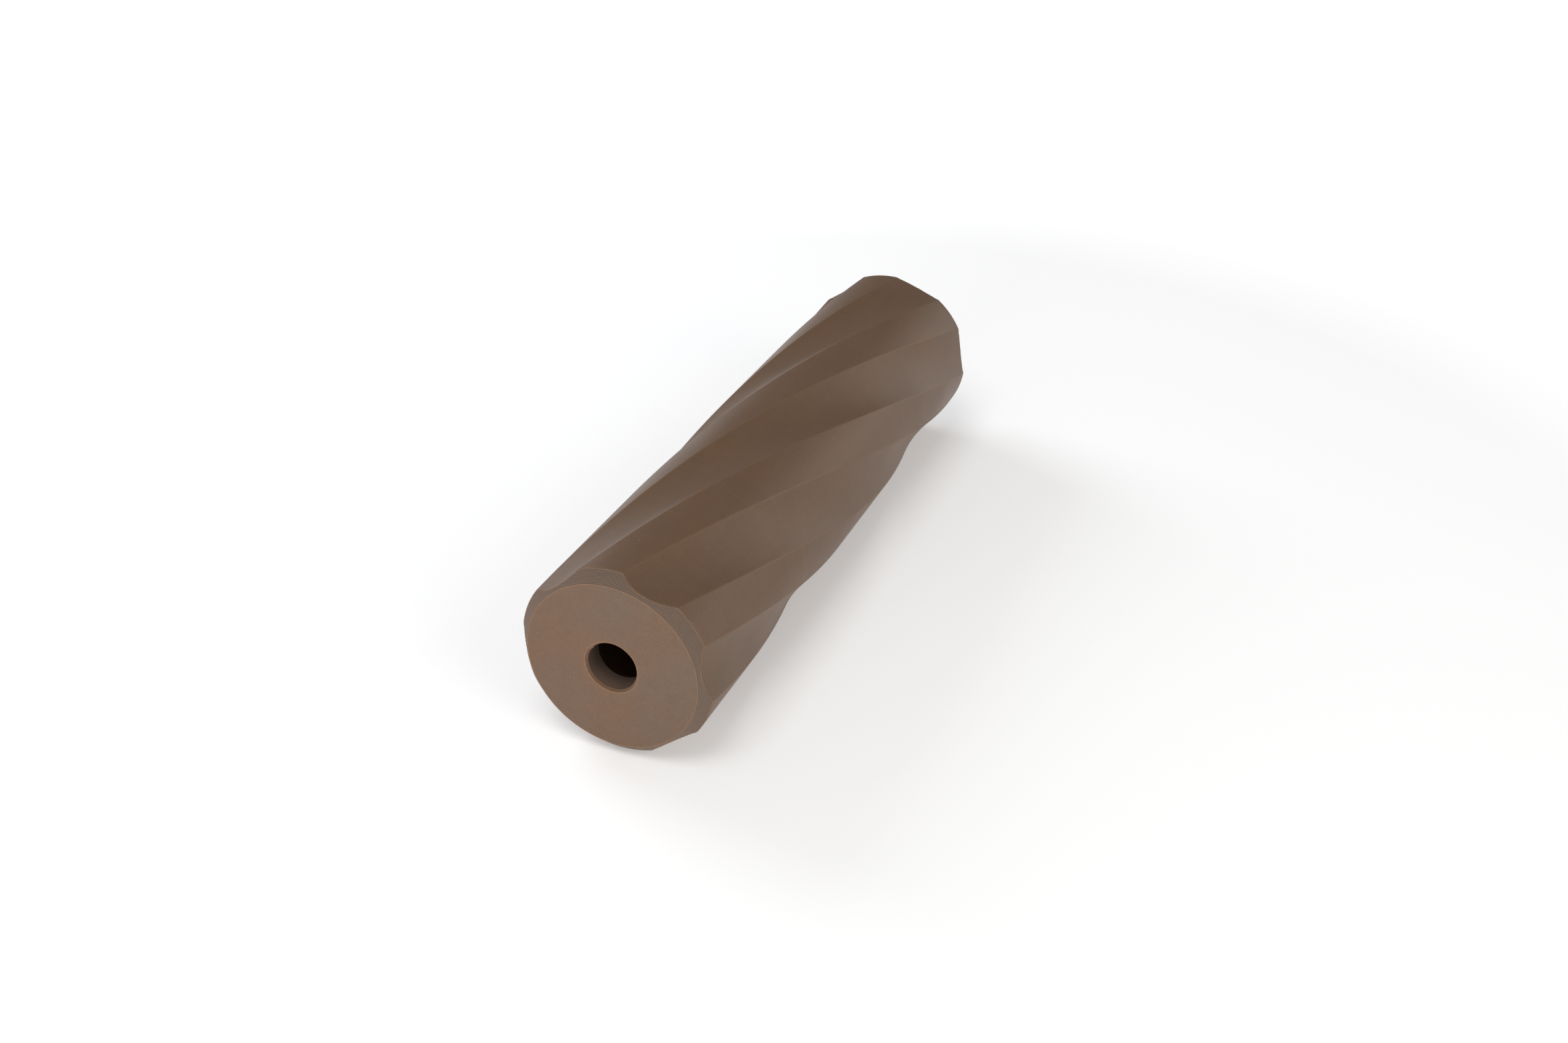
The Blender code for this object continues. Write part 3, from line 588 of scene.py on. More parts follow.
def cavity_rows():
    """The dry pocket, the ledge, the bore, the shoulder and the rear mouth."""
    rows = [
        Row(HOLE_RADIUS + 0.5 * MM, END_WALL + 0.02 * MM),
        Row(POCKET_RADIUS, END_WALL + 0.02 * MM),
    ]
    for y in np.linspace(END_WALL + MM, LEDGE, 6):
        rows.append(Row(POCKET_RADIUS, y))
    # The bore darkened, most at its far end: painted shade.
    for y in np.linspace(LEDGE, SHOULDER - 0.3 * MM, 12):
        rows.append(Row(BORE_RADIUS, y, inside=0.8 if y < SHOULDER - 20 * MM else 0.3))
    # The shoulder: a little painted shade.
    rows += [
        Row(BORE_RADIUS + 0.3 * MM, SHOULDER, inside=0.2),
        Row(MOUTH_RADIUS, SHOULDER, inside=0.2),
    ]
    # The rear mouth's beads: a little painted shade.
    first_bead = LENGTH - 22 * LAYER
    for number in range(20):
        low = first_bead + number * LAYER
        rows += [
            Row(MOUTH_RADIUS, low + 0.1 * LAYER, inside=0.08),
            Row(MOUTH_RADIUS, low + 0.6 * LAYER, inside=0.08),
            Row(MOUTH_RADIUS + 0.03 * MM, low + 0.95 * LAYER, groove=0.6, inside=0.08),
        ]
    rows += [
        Row(MOUTH_RADIUS + 0.2 * MM, LENGTH - 0.9 * LAYER, wear=0.2),
        Row(MOUTH_RADIUS + 0.32 * MM, LENGTH - 0.1 * LAYER, wear=0.8),
        Row(MOUTH_RADIUS + 0.5 * MM, LENGTH, wear=0.7),
    ]
    return rows


def shell_rows(phases):
    """Every row of the shell's skin, once round its section: from the rear rim forward along the outside,
    over the front face, down the hole, and back along the bore."""
    outside = fluted_radius(phases)
    # Thin painted highlights along the edges of the lands.
    land_edge_highlight = 0.22 * land_edges(phases)
    chamfer = chamfer_rows(outside)
    side_start = CHAMFER + 3 * LAYER
    rows = [Row(FACE_RADIUS - 0.15 * MM, LENGTH, wear=0.8)]
    rows += [row._replace(y=LENGTH - row.y) for row in chamfer]
    for y in np.linspace(LENGTH - side_start, side_start, 76):
        rows.append(Row(outside, y, wear=land_edge_highlight))
    rows += reversed(chamfer)
    return rows + face_rows() + hole_rows(phases) + cavity_rows()


def pull_inward(points, angles, at, half_width, depth):
    """Moves the points near one angle towards the axis, the most at that angle."""
    turn = np.angle(np.exp(1j * (angles - at)))
    pull = depth * np.exp(-((turn / half_width) ** 2))
    points[:, 0] -= pull * np.cos(angles)
    points[:, 2] -= pull * np.sin(angles)


def add_seam_and_nick(loops, rows):
    """The small start-of-layer kink in the hole's mouth, and the small nick in the front face's rim."""
    for points, row in zip(loops, rows):
        x, z = points[:, 0], points[:, 2] - AXIS_Z
        angles, distance = np.arctan2(z, x), np.hypot(x, z)
        if row.y < 2.5 * LAYER and distance.max() < 9 * MM:
            pull_inward(points, angles, SEAM_ANGLE, radians(4), 0.16 * MM)
        if row.y < 3 * LAYER and distance.min() > FACE_RADIUS - 0.6 * MM:
            pull_inward(points, angles, NICK_ANGLE, radians(0.9), 0.3 * MM)


def make_shell(look):
    phases = shell_phases()
    rows = shell_rows(phases)
    turned = phases + FIRST_LAND_ANGLE
    loops = [loop(row.radius, row.y, turned - tau * row.y / FLUTE_LEAD) for row in rows]
    add_seam_and_nick(loops, rows)
    shell = loops_to_object("printed_shell", loops, closed=True, sharp_degrees=50)
    columns = np.ones(len(phases))
    for name in ("wear", "groove", "inside", "grey"):
        set_attribute(shell, name, np.concatenate([getattr(row, name) * columns for row in rows]))
    return finish_piece(shell, "barrel", look, "barrel_shell")


# ---------------------------------------------------------------- pieces in the dry hub


def screw_places():
    """The middles of the four screws, found from their boxes, as (x, z) from the axis."""
    places = []
    for number in range(1, SCREW_COUNT + 1):
        low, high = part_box(f"bulkhead_screw_{number}")
        places.append(((low.x + high.x) / 2, (low.z + high.z) / 2 - AXIS_Z))
    return places


def make_bulkhead(look):
    """The disc that closes off the chamber, its boss, O-ring groove, clip groove and screw holes."""
    front, back = span_of("front_bulkhead")
    rim = radius_of("front_bulkhead")
    plate = back - BULKHEAD_THICKNESS
    bore = radius_of("hub_bush") + BUSH_CLEARANCE
    floor = span_of("thrust_pad")[1] + GAP
    clip_low, clip_high = span_of("hub_snap_ring")
    wire_low, wire_high = span_of("bulkhead_o_ring")
    groove_floor = rim - (wire_high - wire_low) - GAP
    clip_depth = 0.8 * MM
    outline = [
        (bore / 2, floor),
        (bore, floor),
        (bore, clip_high + GAP),
        (bore + clip_depth, clip_high + GAP),
        (bore + clip_depth, clip_low - GAP),
        (bore, clip_low - GAP),
        (bore, front),
        (BOSS_RADIUS, front),
        (BOSS_RADIUS, plate),
        (rim, plate),
        (rim, wire_low - GAP / 2),
        (groove_floor, wire_low - GAP / 2),
        (groove_floor, wire_high + GAP / 2),
        (rim, wire_high + GAP / 2),
        (rim, back),
        (rim / 2, back),
    ]
    bulkhead = lathe("bulkhead_print", outline, 120, 0.3 * MM, closed=False)
    thread = SCREW_RADIUS + GAP
    head = SCREW_HEAD_RADIUS + GAP
    for place in screw_places():
        drill = [
            (thread, plate - MM),
            (thread, back - (head - thread)),
            (head, back),
            (head, back + MM),
        ]
        cut(bulkhead, lathe("drill", drill, 32, 0, closed=False, centre=place))
    return finish_piece(bulkhead, "barrel", look, "front_bulkhead")


def make_o_ring(look):
    """Ring of round section in the bulkhead's rim."""
    low, high = span_of("bulkhead_o_ring")
    wire = (high - low) / 2
    centre = radius_of("bulkhead_o_ring") - wire
    section = regular_outline(wire, 20, (centre, (low + high) / 2))
    ring = lathe("o_ring", section, 120, 0)
    return finish_piece(ring, "barrel", look, "bulkhead_o_ring")


def make_screws(look):
    """Countersunk screws with a hexagonal socket and a real thread."""
    angles = round_angles(36)
    pitch = 0.5 * MM
    for number, place in enumerate(screw_places(), 1):
        low, high = span_of(f"bulkhead_screw_{number}")
        neck = high - (SCREW_HEAD_RADIUS - SCREW_RADIUS)
        rows = [(SCREW_RADIUS * 0.55, low), (SCREW_RADIUS * 0.75, low + 0.15 * MM)]
        steps = round((neck - low - 1.2 * MM) / pitch * 6)
        for k in range(steps):
            y = low + 0.4 * MM + k * pitch / 6
            rows.append((threaded_radius(SCREW_RADIUS, pitch, y, angles), y))
        rows += [
            (SCREW_RADIUS * 0.97, neck - 0.3 * MM),
            (SCREW_RADIUS * 0.98, neck),
            (SCREW_HEAD_RADIUS - 0.1 * MM, high - 0.14 * MM),
            (SCREW_HEAD_RADIUS - 0.02 * MM, high - 0.06 * MM),
            (SCREW_HEAD_RADIUS - 0.12 * MM, high),
        ]
        screw = skin(f"hub_screw_{number}", rows, angles, closed=False, centre=place)
        socket = prism("socket", regular_outline(1.15 * MM, 6, place), high - 1.6 * MM, high + MM)
        cut(screw, socket)
        finish_piece(screw, "barrel", look, f"bulkhead_screw_{number}")


def make_bush(look):
    """Floating bush with lead-ins and three oil grooves in its outside."""
    low, high = span_of("hub_bush")
    outer, inner = radius_of("hub_bush"), BUSH_BORE_RADIUS
    groove, depth = 0.35 * MM, 0.18 * MM
    outside = [(outer, low)]
    for share in (0.25, 0.5, 0.75):
        middle = low + share * (high - low)
        outside += [
            (outer, middle - groove),
            (outer - depth, middle - groove / 2),
            (outer - depth, middle + groove / 2),
            (outer, middle + groove),
        ]
    outside += [(outer, high), (inner, high), (inner, low)]
    bush = lathe("bush_turned", outside, 96, 0.4 * MM)
    return finish_piece(bush, "bush", look, "hub_bush")


def make_thrust_pad(look):
    """Hard disc, slightly dished where the pin's end runs on it."""
    low, high = span_of("thrust_pad")
    outer = radius_of("thrust_pad")
    outline = [
        (outer / 3, low + 0.2 * MM),
        (outer / 2.4, low),
        (outer, low),
        (outer, high),
        (outer / 3, high),
    ]
    pad = lathe("thrust_pad_disc", outline, 96, 0.35 * MM, closed=False)
    return finish_piece(pad, "barrel", look, "thrust_pad")


def spring_ring(name, inner, outer, span, opening, ear_at, ear_radius):
    """A C-shaped clip with a drilled ear on each side of its opening, its edges slightly rounded."""
    low_angle, high_angle = opening / 2, tau - opening / 2
    ears = []
    for angle, side in ((high_angle, 1), (low_angle, -1)):
        turns = angle + side * np.linspace(0, pi, 13)
        centre = ear_at * np.array([cos(angle), sin(angle)])
        ears.append(centre + ear_radius * np.stack([np.cos(turns), np.sin(turns)], axis=1))
    around = np.linspace(low_angle, high_angle, 73)
    circle = np.stack([np.cos(around), np.sin(around)], axis=1)
    outline = np.concatenate([outer * circle, ears[0], inner * circle[::-1], ears[1][::-1]])
    along = np.roll(outline, -1, axis=0) - np.roll(outline, 1, axis=0)
    outward = np.stack([along[:, 1], -along[:, 0]], axis=1)
    outward /= np.linalg.norm(outward, axis=1)[:, None]
    edge = 0.1 * MM
    low, high = span
    loops = []
    for inset, y in ((edge, low), (0, low + edge), (0, high - edge), (edge, high)):
        flat = outline - outward * inset
        loops.append(np.stack([flat[:, 0], np.full(len(flat), FRONT + y), AXIS_Z + flat[:, 1]], axis=1))
    ring = loops_to_object(name, loops, closed=False)
    for angle in (low_angle, high_angle):
        place = (ear_at * cos(angle), ear_at * sin(angle))
        drill = [(CLIP_EYE_RADIUS, low - MM), (CLIP_EYE_RADIUS, high + MM)]
        cut(ring, lathe("drill", drill, 20, 0, closed=False, centre=place))
    return ring


def make_snap_rings(look):
    """The clip in the boss, with its ears inside, and the one on the bolt, with its ears outside."""
    bore = radius_of("hub_bush") + BUSH_CLEARANCE
    span = span_of("hub_snap_ring")
    hub = spring_ring("hub_clip", bore - MM, bore + 0.5 * MM, span, radians(46), bore - MM, 1.3 * MM)
    finish_piece(hub, "barrel", look, "hub_snap_ring")
    inner, outer = BOLT_RADIUS - 0.4 * MM, BOLT_RADIUS + 1.4 * MM
    span = span_of("knob_stop_ring")
    stop = spring_ring("bolt_clip", inner, outer, span, radians(64), outer, 1.1 * MM)
    finish_piece(stop, "clamp", look, "knob_stop_ring")


# ---------------------------------------------------------------- pieces in the chamber


def hexagon_radius(angles):
    """Distance from the axis to a hexagon with rounded corners, along each angle."""
    pitch = tau / 6
    from_corner = np.abs(np.mod(angles + pitch / 2, pitch) - pitch / 2)
    flat = LINER_FLAT_RADIUS / np.cos(pitch / 2 - from_corner)
    to_centre = LINER_FLAT_RADIUS - LINER_CORNER_RADIUS
    reach = to_centre / cos(pitch / 2)
    under = np.maximum(LINER_CORNER_RADIUS**2 - (reach * np.sin(from_corner)) ** 2, 0)
    corner = reach * np.cos(from_corner) + np.sqrt(under)
    tangent = pitch / 2 - atan2(to_centre * tan(pitch / 2), LINER_FLAT_RADIUS)
    return np.where(from_corner < tangent, corner, flat)


def make_liner(look):
    """Rubber sleeve: round outside, six-sided inside, with rounded mouths."""
    low, high = span_of("chamber_liner")
    outer = radius_of("chamber_liner")
    angles = round_angles(180)
    inner = hexagon_radius(angles)
    edge = 1.2 * MM
    rows = []
    for y in np.linspace(low + edge, high - edge, 30):
        rows.append((outer, y))
    for share in (0.3, 0.7, 1.0):
        turn = share * pi / 2
        rows.append((outer - 0.5 * edge * (1 - cos(turn)), high - edge + edge * sin(turn)))
    middle = (outer + inner) / 2
    rows.append((middle, high))
    for share in (0.0, 0.25, 0.5, 0.75, 1.0):
        turn = share * pi / 2
        rows.append((inner + edge * (1 - sin(turn)), high - edge + edge * cos(turn)))
    for y in np.linspace(high - 2 * edge, low + 2 * edge, 36):
        rows.append((inner, y))
    for share in (1.0, 0.75, 0.5, 0.25, 0.0):
        turn = share * pi / 2
        rows.append((inner + edge * (1 - sin(turn)), low + edge - edge * cos(turn)))
    rows.append((middle, low))
    rows.append((outer - 0.5 * edge, low))
    rows.append((outer - 0.15 * edge, low + 0.3 * edge))
    liner = skin("liner_sleeve", rows, angles)
    return finish_piece(liner, "barrel", look, "chamber_liner")


def make_end_disc(look):
    """Rubber disc over the bulkhead, with two shallow rings moulded into its wet side."""
    low, high = span_of("liner_end_disc")
    outer = radius_of("liner_end_disc")
    groove, depth = 0.8 * MM, 0.4 * MM
    outline = [(outer / 6, low), (outer, low), (outer, high)]
    for radius in (outer * 0.72, outer * 0.4):
        outline += [
            (radius + groove, high),
            (radius + groove / 2, high - depth),
            (radius - groove / 2, high - depth),
            (radius - groove, high),
        ]
    outline.append((outer / 6, high))
    disc = lathe("end_disc_moulding", outline, 120, 0.4 * MM, closed=False)
    return finish_piece(disc, "barrel", look, "liner_end_disc")


# ---------------------------------------------------------------- closure


RIB_BENDS = (0.0, 0.7 * MM, 0.88 * MM, 1.0 * MM, 1.12 * MM, 1.6 * MM)
RIB_HEIGHTS = (1.0, 1.0, 0.9, 0.5, 0.1, 0.0)
RIB_FREE_COLUMNS = 12


def rib_angles(radius):
    """Column angles for a row at this radius: six ribs keep parallel sides whatever the radius."""
    half = np.array(RIB_BENDS)
    near = np.arcsin(np.concatenate([-half[:0:-1], half]) / radius)
    pitch = tau / FLUTES
    free = np.linspace(near[-1], pitch + near[0], RIB_FREE_COLUMNS + 2)[1:-1]
    one = np.concatenate([near, free])
    return np.concatenate([one + (k + 0.5) * pitch for k in range(FLUTES)])


def rib_heights():
    """Share of the rib's height at each column of rib_angles."""
    half = np.array(RIB_HEIGHTS)
    one = np.concatenate([half[:0:-1], half, np.zeros(RIB_FREE_COLUMNS)])
    return np.tile(one, FLUTES)


def make_lid(look):
    """Cover plate: spigot, seat, raised rim, six ribs in a sunk web, and the washer's boss."""
    low, face = span_of("outer_lid")
    rim, bore = radius_of("outer_lid"), BOLT_RADIUS + GAP
    seat = span_of("lid_gasket")[1] + GAP
    sink = 1.4 * MM
    web, rib_top = face - sink, face - 0.2 * MM
    ridge = rim - 2.6 * MM
    boss = 10.5 * MM
    slope = 0.6 * MM
    ribbed = web + rib_heights() * (rib_top - web)
    outside = [
        (bore, low),
        (SPIGOT_RADIUS, low),
        (SPIGOT_RADIUS, seat),
        (rim, seat),
        (rim, face),
        (ridge, face),
    ]
    rows = filleted(outside, 0.4 * MM, closed=False)[1:]
    for share in (0.15, 0.5, 0.85):
        rows.append((ridge - slope * share, np.maximum(face - sink * share, ribbed)))
    for radius in np.linspace(ridge - 1.2 * slope, boss + 1.2 * slope, 14):
        rows.append((radius, ribbed))
    for share in (0.85, 0.5, 0.15):
        rows.append((boss + slope * share, np.maximum(face - sink * share, ribbed)))
    inside = [(boss, web), (boss, face), (bore, face), (bore, low), (bore + 2 * MM, low)]
    rows += filleted(inside, 0.3 * MM, closed=False)[1:-1]
    loops = [loop(radius, y, rib_angles(radius)) for radius, y in rows]
    lid = loops_to_object("ribbed_lid", loops)
    for number in (1, 2):
        place = pin_place(number)
        drill = [(PIN_RADIUS + GAP, low - MM), (PIN_RADIUS + GAP, seat + GAP)]
        cut(lid, lathe("drill", drill, 32, 0, closed=False, centre=place))
    return finish_piece(lid, "closure", look, "outer_lid")


def pin_place(number):
    """The middle of a guide pin, as (x, z) from the axis."""
    low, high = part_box(f"guide_pin_{number}")
    return (low.x + high.x) / 2, (low.z + high.z) / 2 - AXIS_Z


def make_gasket(look):
    """Flat ring that seals the lid against the shoulder in the rear mouth."""
    low, high = span_of("lid_gasket")
    outline = ring_outline(radius_of("lid_gasket"), SPIGOT_RADIUS + GAP, low, high)
    gasket = lathe("gasket_ring", outline, 144, 0.3 * MM)
    return finish_piece(gasket, "closure", look, "lid_gasket")


def make_expansion_ring(look):
    """The squeezed rubber ring, its outside slightly crowned between three moulded lips."""
    low, high = span_of("expansion_ring")
    outer = radius_of("expansion_ring")
    bevel, lips, dip = 1.8 * MM, 3, 0.5 * MM
    outline = [(EXPANSION_RING_BORE, low), (outer - bevel, low)]
    length = high - low - 2 * bevel
    for k in range(6 * lips + 1):
        wave = sin(pi * k / 6) ** 2
        outline.append((outer - dip * (1 - wave), low + bevel + length * k / (6 * lips)))
    outline += [(outer - bevel, high), (EXPANSION_RING_BORE, high)]
    ring = lathe("squeeze_ring", outline, 144, 0.35 * MM)
    return finish_piece(ring, "closure", look, "expansion_ring")


def make_thrust_washer(look):
    """Flat washer that the knob turns on."""
    low, high = span_of("thrust_washer")
    outline = ring_outline(radius_of("thrust_washer"), BOLT_RADIUS + GAP, low, high)
    washer = lathe("washer_turned", outline, 96, 0.25 * MM)
    return finish_piece(washer, "closure", look, "thrust_washer")


def neck_prism(low, high):
    """Cutter for the square hole round the bolt's neck."""
    half = NECK_HALF_WIDTH + GAP
    corners = [(-half, -half), (half, -half), (half, half), (-half, half)]
    return prism("neck_hole", corners, low - MM, high + MM)


def make_inner_plate(look):
    """Turned steel plate: rounded rim, sunk back and a raised hub ring round the two pins."""
    low, high = span_of("inner_plate")
    rim = radius_of("inner_plate")
    hub = 11.8 * MM
    outline = [
        (7 * MM, low),
        (rim, low),
        (rim, high),
        (hub + 0.8 * MM, high),
        (hub - 1.2 * MM, low + PLATE_EDGE_THICKNESS),
        (7 * MM, low + PLATE_EDGE_THICKNESS),
    ]
    plate = lathe("inner_plate_turned", outline, 144, 0.7 * MM, closed=False)
    cut(plate, neck_prism(low, high))
    return finish_piece(plate, "clamp", look, "inner_plate")


def make_pins(look):
    """Two ground pins with rounded ends."""
    for number in (1, 2):
        low, high = span_of(f"guide_pin_{number}")
        outline = [(PIN_RADIUS / 2, low), (PIN_RADIUS, low), (PIN_RADIUS, high), (PIN_RADIUS / 2, high)]
        pin = lathe(f"ground_pin_{number}", outline, 40, 0.35 * MM, closed=False, centre=pin_place(number))
        finish_piece(pin, "clamp", look, f"guide_pin_{number}")


def make_facing(look):
    """Rubber facing with a raised lip round its rim and a shallow dish in the middle."""
    low, high = span_of("plate_facing")
    rim = radius_of("plate_facing")
    dish = 0.35 * MM
    outline = [
        (7 * MM, low + dish),
        (rim - 4 * MM, low + dish),
        (rim - 3 * MM, low),
        (rim, low),
        (rim, high),
        (7 * MM, high),
    ]
    facing = lathe("facing_disc", outline, 144, 0.7 * MM, closed=False)
    cut(facing, neck_prism(low, high))
    return finish_piece(facing, "clamp", look, "plate_facing")


def make_seal_washer(look):
    """Rubber washer under the bolt's head."""
    low, high = span_of("bolt_seal_washer")
    outline = ring_outline(radius_of("bolt_seal_washer"), NECK_HALF_WIDTH * sqrt(2) + GAP, low, high)
    washer = lathe("bolt_seal", outline, 96, 0.3 * MM)
    return finish_piece(washer, "clamp", look, "bolt_seal_washer")


def threaded_radius(crest, pitch, y, angles):
    """Radius along a right-hand thread at one place on the axis, for each angle."""
    turns = y / pitch + angles / tau
    rise = np.abs(2 * np.mod(turns, 1) - 1)
    return crest - 0.54 * pitch * (1 - np.clip(1.3 * rise - 0.12, 0, 1))


def make_bolt(look):
    """Carriage bolt: domed head, square neck, real thread, clip groove and a bevelled tip."""
    low, tip = span_of("clamp_bolt")
    head_y = span_of("bolt_seal_washer")[0] - GAP
    neck_end = span_of("inner_plate")[0] + PLATE_EDGE_THICKNESS
    clip_low, clip_high = span_of("knob_stop_ring")
    height = head_y - low
    head = radius_of("clamp_bolt")
    dome = (head**2 + height**2) / (2 * height)
    half_angle = asin(head / dome)
    angles = round_angles(64)
    square = NECK_HALF_WIDTH / np.maximum(np.abs(np.cos(angles)), np.abs(np.sin(angles)))
    square = soft_min(square, np.full(len(angles), 5.5 * MM), 0.5 * MM)
    rows = []
    for k in range(1, 15):
        turn = half_angle * k / 15
        rows.append((dome * sin(turn), low + dome * (1 - cos(turn))))
    rows += [
        (head - 0.12 * MM, head_y - 0.3 * MM),
        (head, head_y - 0.15 * MM),
        (head - 0.15 * MM, head_y),
        (square + 0.5 * MM, head_y),
        (square, head_y + 0.4 * MM),
        (square, neck_end - 0.4 * MM),
        (np.minimum(square, BOLT_RADIUS + 0.6 * MM), neck_end),
        (BOLT_RADIUS - 0.1 * MM, neck_end + 0.3 * MM),
    ]
    steps = 8

    def thread(start, end):
        for k in range(int((end - start) / THREAD_PITCH * steps)):
            y = start + k * THREAD_PITCH / steps
            rows.append((threaded_radius(BOLT_RADIUS, THREAD_PITCH, y, angles), y))

    groove = BOLT_RADIUS - 0.7 * MM
    thread(neck_end + MM, clip_low - GAP)
    rows += [(groove, clip_low - GAP), (groove, clip_high + GAP)]
    thread(clip_high + GAP + 0.05 * MM, tip - 0.5 * MM)
    rows += [(BOLT_RADIUS - 0.55 * MM, tip - 0.25 * MM), (BOLT_RADIUS - 0.9 * MM, tip)]
    bolt = skin("carriage_bolt", rows, angles, closed=False)
    return finish_piece(bolt, "clamp", look, "clamp_bolt")


def make_knob(look):
    """Six-lobed knob: rounded crown, moulded parting line, and a recess round the bolt's end."""
    low, high = span_of("clamp_knob")
    full = radius_of("clamp_knob")
    recess = 7.4 * MM
    insert_end = span_of("knob_insert")[1] + GAP
    bore = radius_of("knob_insert") + GAP
    angles = round_angles(192)
    lobes = full - 1.5 * MM * (1 - np.cos(KNOB_LOBES * angles))
    height = high - low
    ones = np.ones(len(angles))
    rows = []
    for share in (0.0, 0.02, 0.05, 0.1, 0.16, 0.25, 0.35, 0.45, 0.485, 0.5, 0.515, 0.55, 0.62, 0.7):
        rise = share * height
        lead_in = full - 1.4 * MM + rise
        parting = 0.1 * MM if share == 0.5 else 0.0
        rows.append((soft_min(lobes + parting, lead_in * ones, 0.8 * MM) - 0.1 * MM, low + rise))
    top_radius = 10.4 * MM
    crown = 0.3 * height
    for k in range(1, 10):
        turn = k / 10 * pi / 2
        limit = top_radius + (full + 0.4 * MM - top_radius) * cos(turn) ** 0.8
        rows.append((soft_min(lobes, limit * ones, 1.2 * MM) - 0.1 * MM, high - crown * (1 - sin(turn))))
    inside = filleted(
        [
            (top_radius, high),
            (recess, high),
            (recess, insert_end + 0.6 * MM),
            (bore, insert_end),
            (bore, low),
            (full - 1.5 * MM, low),
        ],
        0.5 * MM,
        closed=False,
    )
    rows += inside[:-1]
    knob = skin("star_knob", rows, angles, sharp_degrees=40)
    return finish_piece(knob, "knob", look, "clamp_knob")


def make_insert(look):
    """Brass insert, straight-knurled outside, with a lead-in at each end of its bore."""
    low, high = span_of("knob_insert")
    outer = radius_of("knob_insert")
    inner = BOLT_RADIUS + 0.05 * MM
    angles = round_angles(160)
    knurl = outer - 0.25 * MM * np.tile([0.0, 0.35, 1.0, 0.35], 40)
    edge = 0.35 * MM
    rows = [
        (inner + edge, low),
        (outer - 2 * edge, low),
        (outer - edge, low + edge),
        (knurl, low + 2 * edge),
        (knurl, high - 2 * edge),
        (outer - edge, high - edge),
        (outer - 2 * edge, high),
        (inner + edge, high),
        (inner, high - edge),
        (inner, low + edge),
    ]
    insert = skin("knurled_insert", rows, angles)
    return finish_piece(insert, "knob", look, "knob_insert")


# ---------------------------------------------------------------- stage

# Where the camera stands, from the middle of the front face, and where it looks.
CAMERA_FROM_FACE = Vector((0.20768, -0.36593, 0.29336))
CAMERA_LOOKS = Vector((-0.3344, 0.7955, -0.5054))
CAMERA_LENS = 40.64
SENSOR_WIDTH = 36.0
FLOOR_HALF_WIDTH = 3.0
FLOOR_DROP = 0.2 * MM  # below the lands, so that the two don't share a plane
LIGHT_SIZE = 0.6
LIGHT_DISTANCE = 1.2


def make_camera():
    data = bpy.data.cameras.new("camera")
    data.lens = CAMERA_LENS
    data.sensor_width = SENSOR_WIDTH
    camera = bpy.data.objects.new("camera", data)
    bpy.context.scene.collection.objects.link(camera)
    camera.location = Vector((0, FRONT, AXIS_Z)) + CAMERA_FROM_FACE
    camera.rotation_euler = CAMERA_LOOKS.to_track_quat("-Z", "Y").to_euler()
    data.clip_start = 0.01
    bpy.context.scene.camera = camera


def make_floor():
    """A pale floor that glows a little near the barrel and fully far away from it."""
    corners = [(-1, -1, 0), (1, -1, 0), (1, 1, 0), (-1, 1, 0)]
    points = FLOOR_HALF_WIDTH * np.array(corners, float) - np.array([0, 0, FLOOR_DROP])
    floor = mesh_object("floor", points, [(0, 1, 2, 3)])
    g = Graph("pale_floor")
    x, y, _z = g.axis_parts()
    distance = g.math("SQRT", g.math("ADD", g.math("MULTIPLY", x, x), g.math("MULTIPLY", y, y)))
    g.set("Base Color", g.mix(g.ramp(distance, 0.45, 1.1), (0.9, 0.9, 0.9, 1), (0, 0, 0, 1)))
    g.set("Roughness", 0.9)
    g.set("Specular IOR Level", 0.1)
    g.set("Emission Color", (1, 1, 1, 1))
    g.set("Emission Strength", g.ramp(distance, 0.3, 0.85, 0.26, 1.0))
    floor.data.materials.append(g.material)


def area_light(name, azimuth, elevation, power, tint=(1.0, 1.0, 1.0)):
    """A square soft light, placed round the barrel's middle. Azimuth 0 is in front of the front face."""
    data = bpy.data.lights.new(name, "AREA")
    data.size = LIGHT_SIZE
    data.energy = power
    data.color = tint
    light = bpy.data.objects.new(name, data)
    bpy.context.scene.collection.objects.link(light)
    a, e = radians(azimuth), radians(elevation)
    toward = Vector((sin(a) * cos(e), -cos(a) * cos(e), sin(e)))
    light.location = Vector((0, 0, AXIS_Z)) + toward * LIGHT_DISTANCE
    light.rotation_euler = (-toward).to_track_quat("-Z", "Y").to_euler()


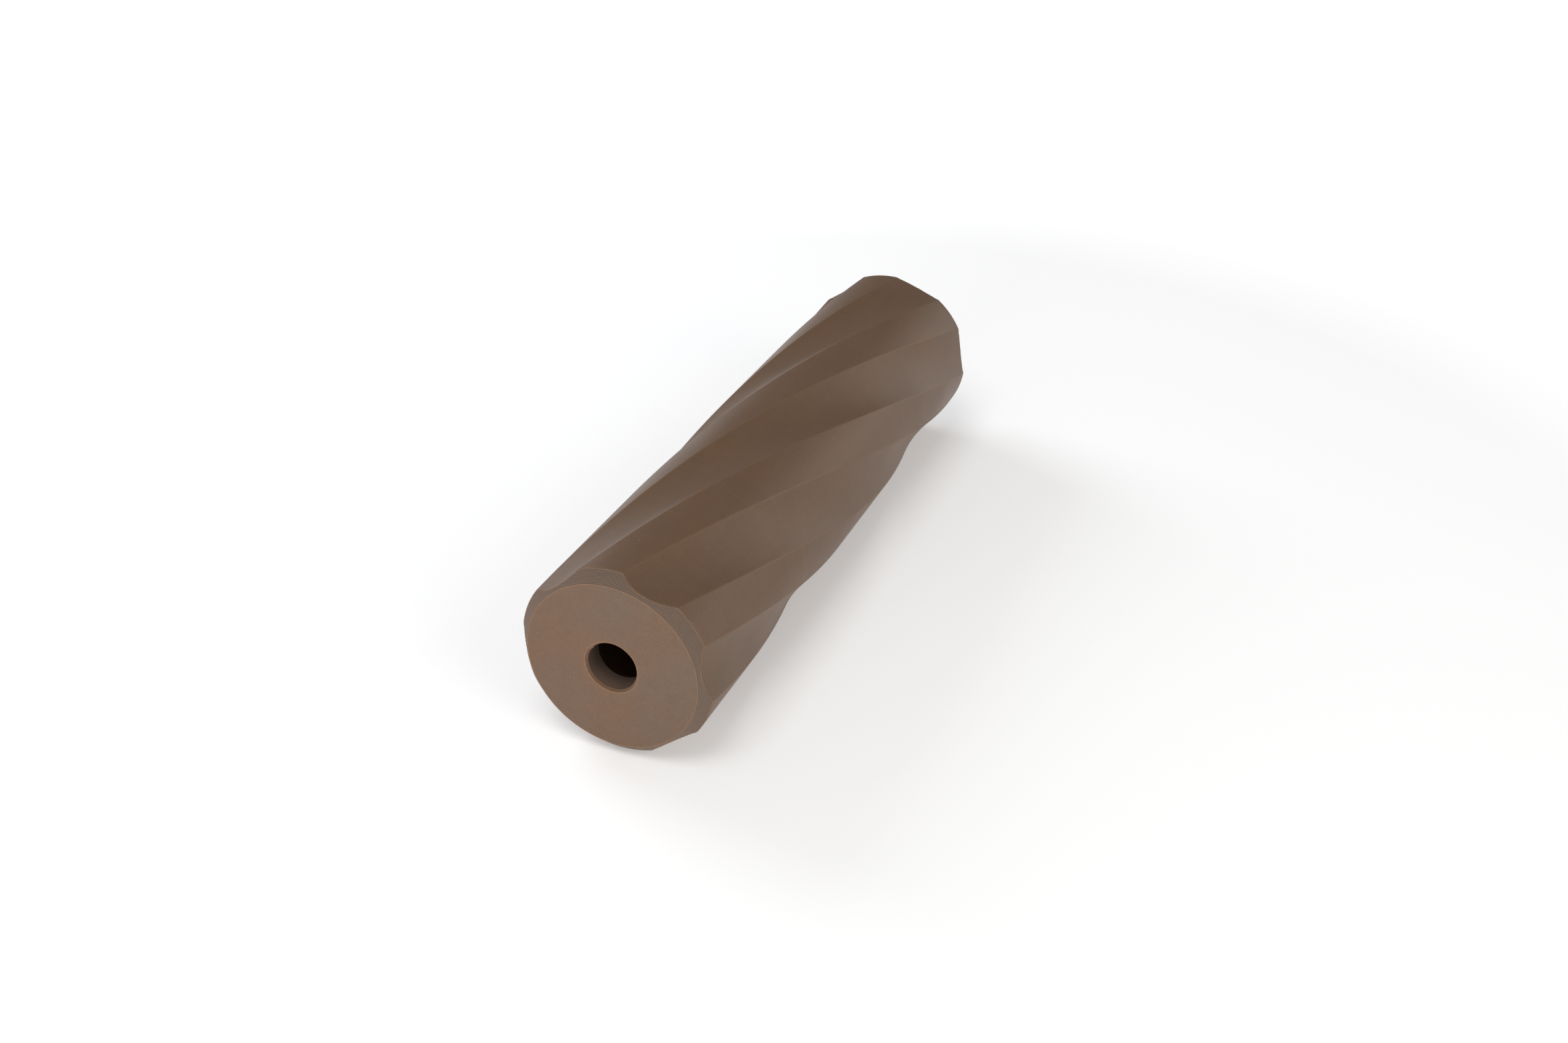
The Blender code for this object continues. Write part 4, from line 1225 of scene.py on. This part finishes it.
def make_lights():
    """Six soft lights round the barrel, in a dim white room that the camera sees as bright."""
    area_light("front_low", 0, 3, 6.7)
    area_light("front_high", 0, 62, 4.5)
    area_light("right_front", 60, 28, 3.2, tint=(1.0, 0.96, 0.9))
    area_light("left_back", -110, 28, 6.8, tint=(0.93, 0.955, 1.0))
    area_light("right_back_low", 135, 8, 1.9)
    area_light("back_low", 160, 8, 1.6)
    world = bpy.data.worlds.new("studio")
    world.use_nodes = True
    tree = world.node_tree
    seen = tree.nodes.new("ShaderNodeLightPath").outputs["Is Camera Ray"]
    strength = tree.nodes.new("ShaderNodeMapRange")
    tree.links.new(seen, strength.inputs["Value"])
    strength.inputs["To Min"].default_value = 0.22
    strength.inputs["To Max"].default_value = 1.0
    background = tree.nodes["Background"]
    background.inputs["Color"].default_value = (1, 1, 1, 1)
    tree.links.new(strength.outputs[0], background.inputs["Strength"])
    bpy.context.scene.world = world
    bpy.context.scene.view_settings.view_transform = "Standard"


# ---------------------------------------------------------------- build

PRINTED = printed_plastic("printed_brown", (109, 89, 75))
PRINTED_LID = printed_plastic("printed_lid_brown", (97, 80, 68))
KNOB_PLASTIC = moulded_plastic("knob_black", (52, 52, 54))
LINER_RUBBER = moulded_rubber("liner_rubber", (40, 40, 40))
SEAL_RUBBER = moulded_rubber("seal_rubber", (82, 34, 28), dusty=0.12)
STEEL = turned_metal("stainless_steel", (196, 194, 190), 0.32, tarnished=0.12)
SPRING_STEEL = turned_metal("spring_steel", (112, 112, 116), 0.36)
BRONZE = turned_metal("bronze", (186, 138, 88), 0.34, tarnish=(92, 64, 36))
BRASS = turned_metal("brass", (206, 172, 96), 0.3, tarnish=(120, 92, 44))
NYLON = moulded_plastic("white_nylon", (208, 204, 194), 0.5)

make_shell(PRINTED)
make_bulkhead(PRINTED_LID)
make_o_ring(SEAL_RUBBER)
make_screws(STEEL)
make_bush(BRONZE)
make_thrust_pad(NYLON)
make_snap_rings(SPRING_STEEL)
make_liner(LINER_RUBBER)
make_end_disc(LINER_RUBBER)
make_lid(PRINTED_LID)
make_gasket(SEAL_RUBBER)
make_expansion_ring(LINER_RUBBER)
make_thrust_washer(STEEL)
make_inner_plate(STEEL)
make_pins(STEEL)
make_facing(LINER_RUBBER)
make_seal_washer(SEAL_RUBBER)
make_bolt(STEEL)
make_knob(KNOB_PLASTIC)
make_insert(BRASS)

make_floor()
make_lights()
make_camera()
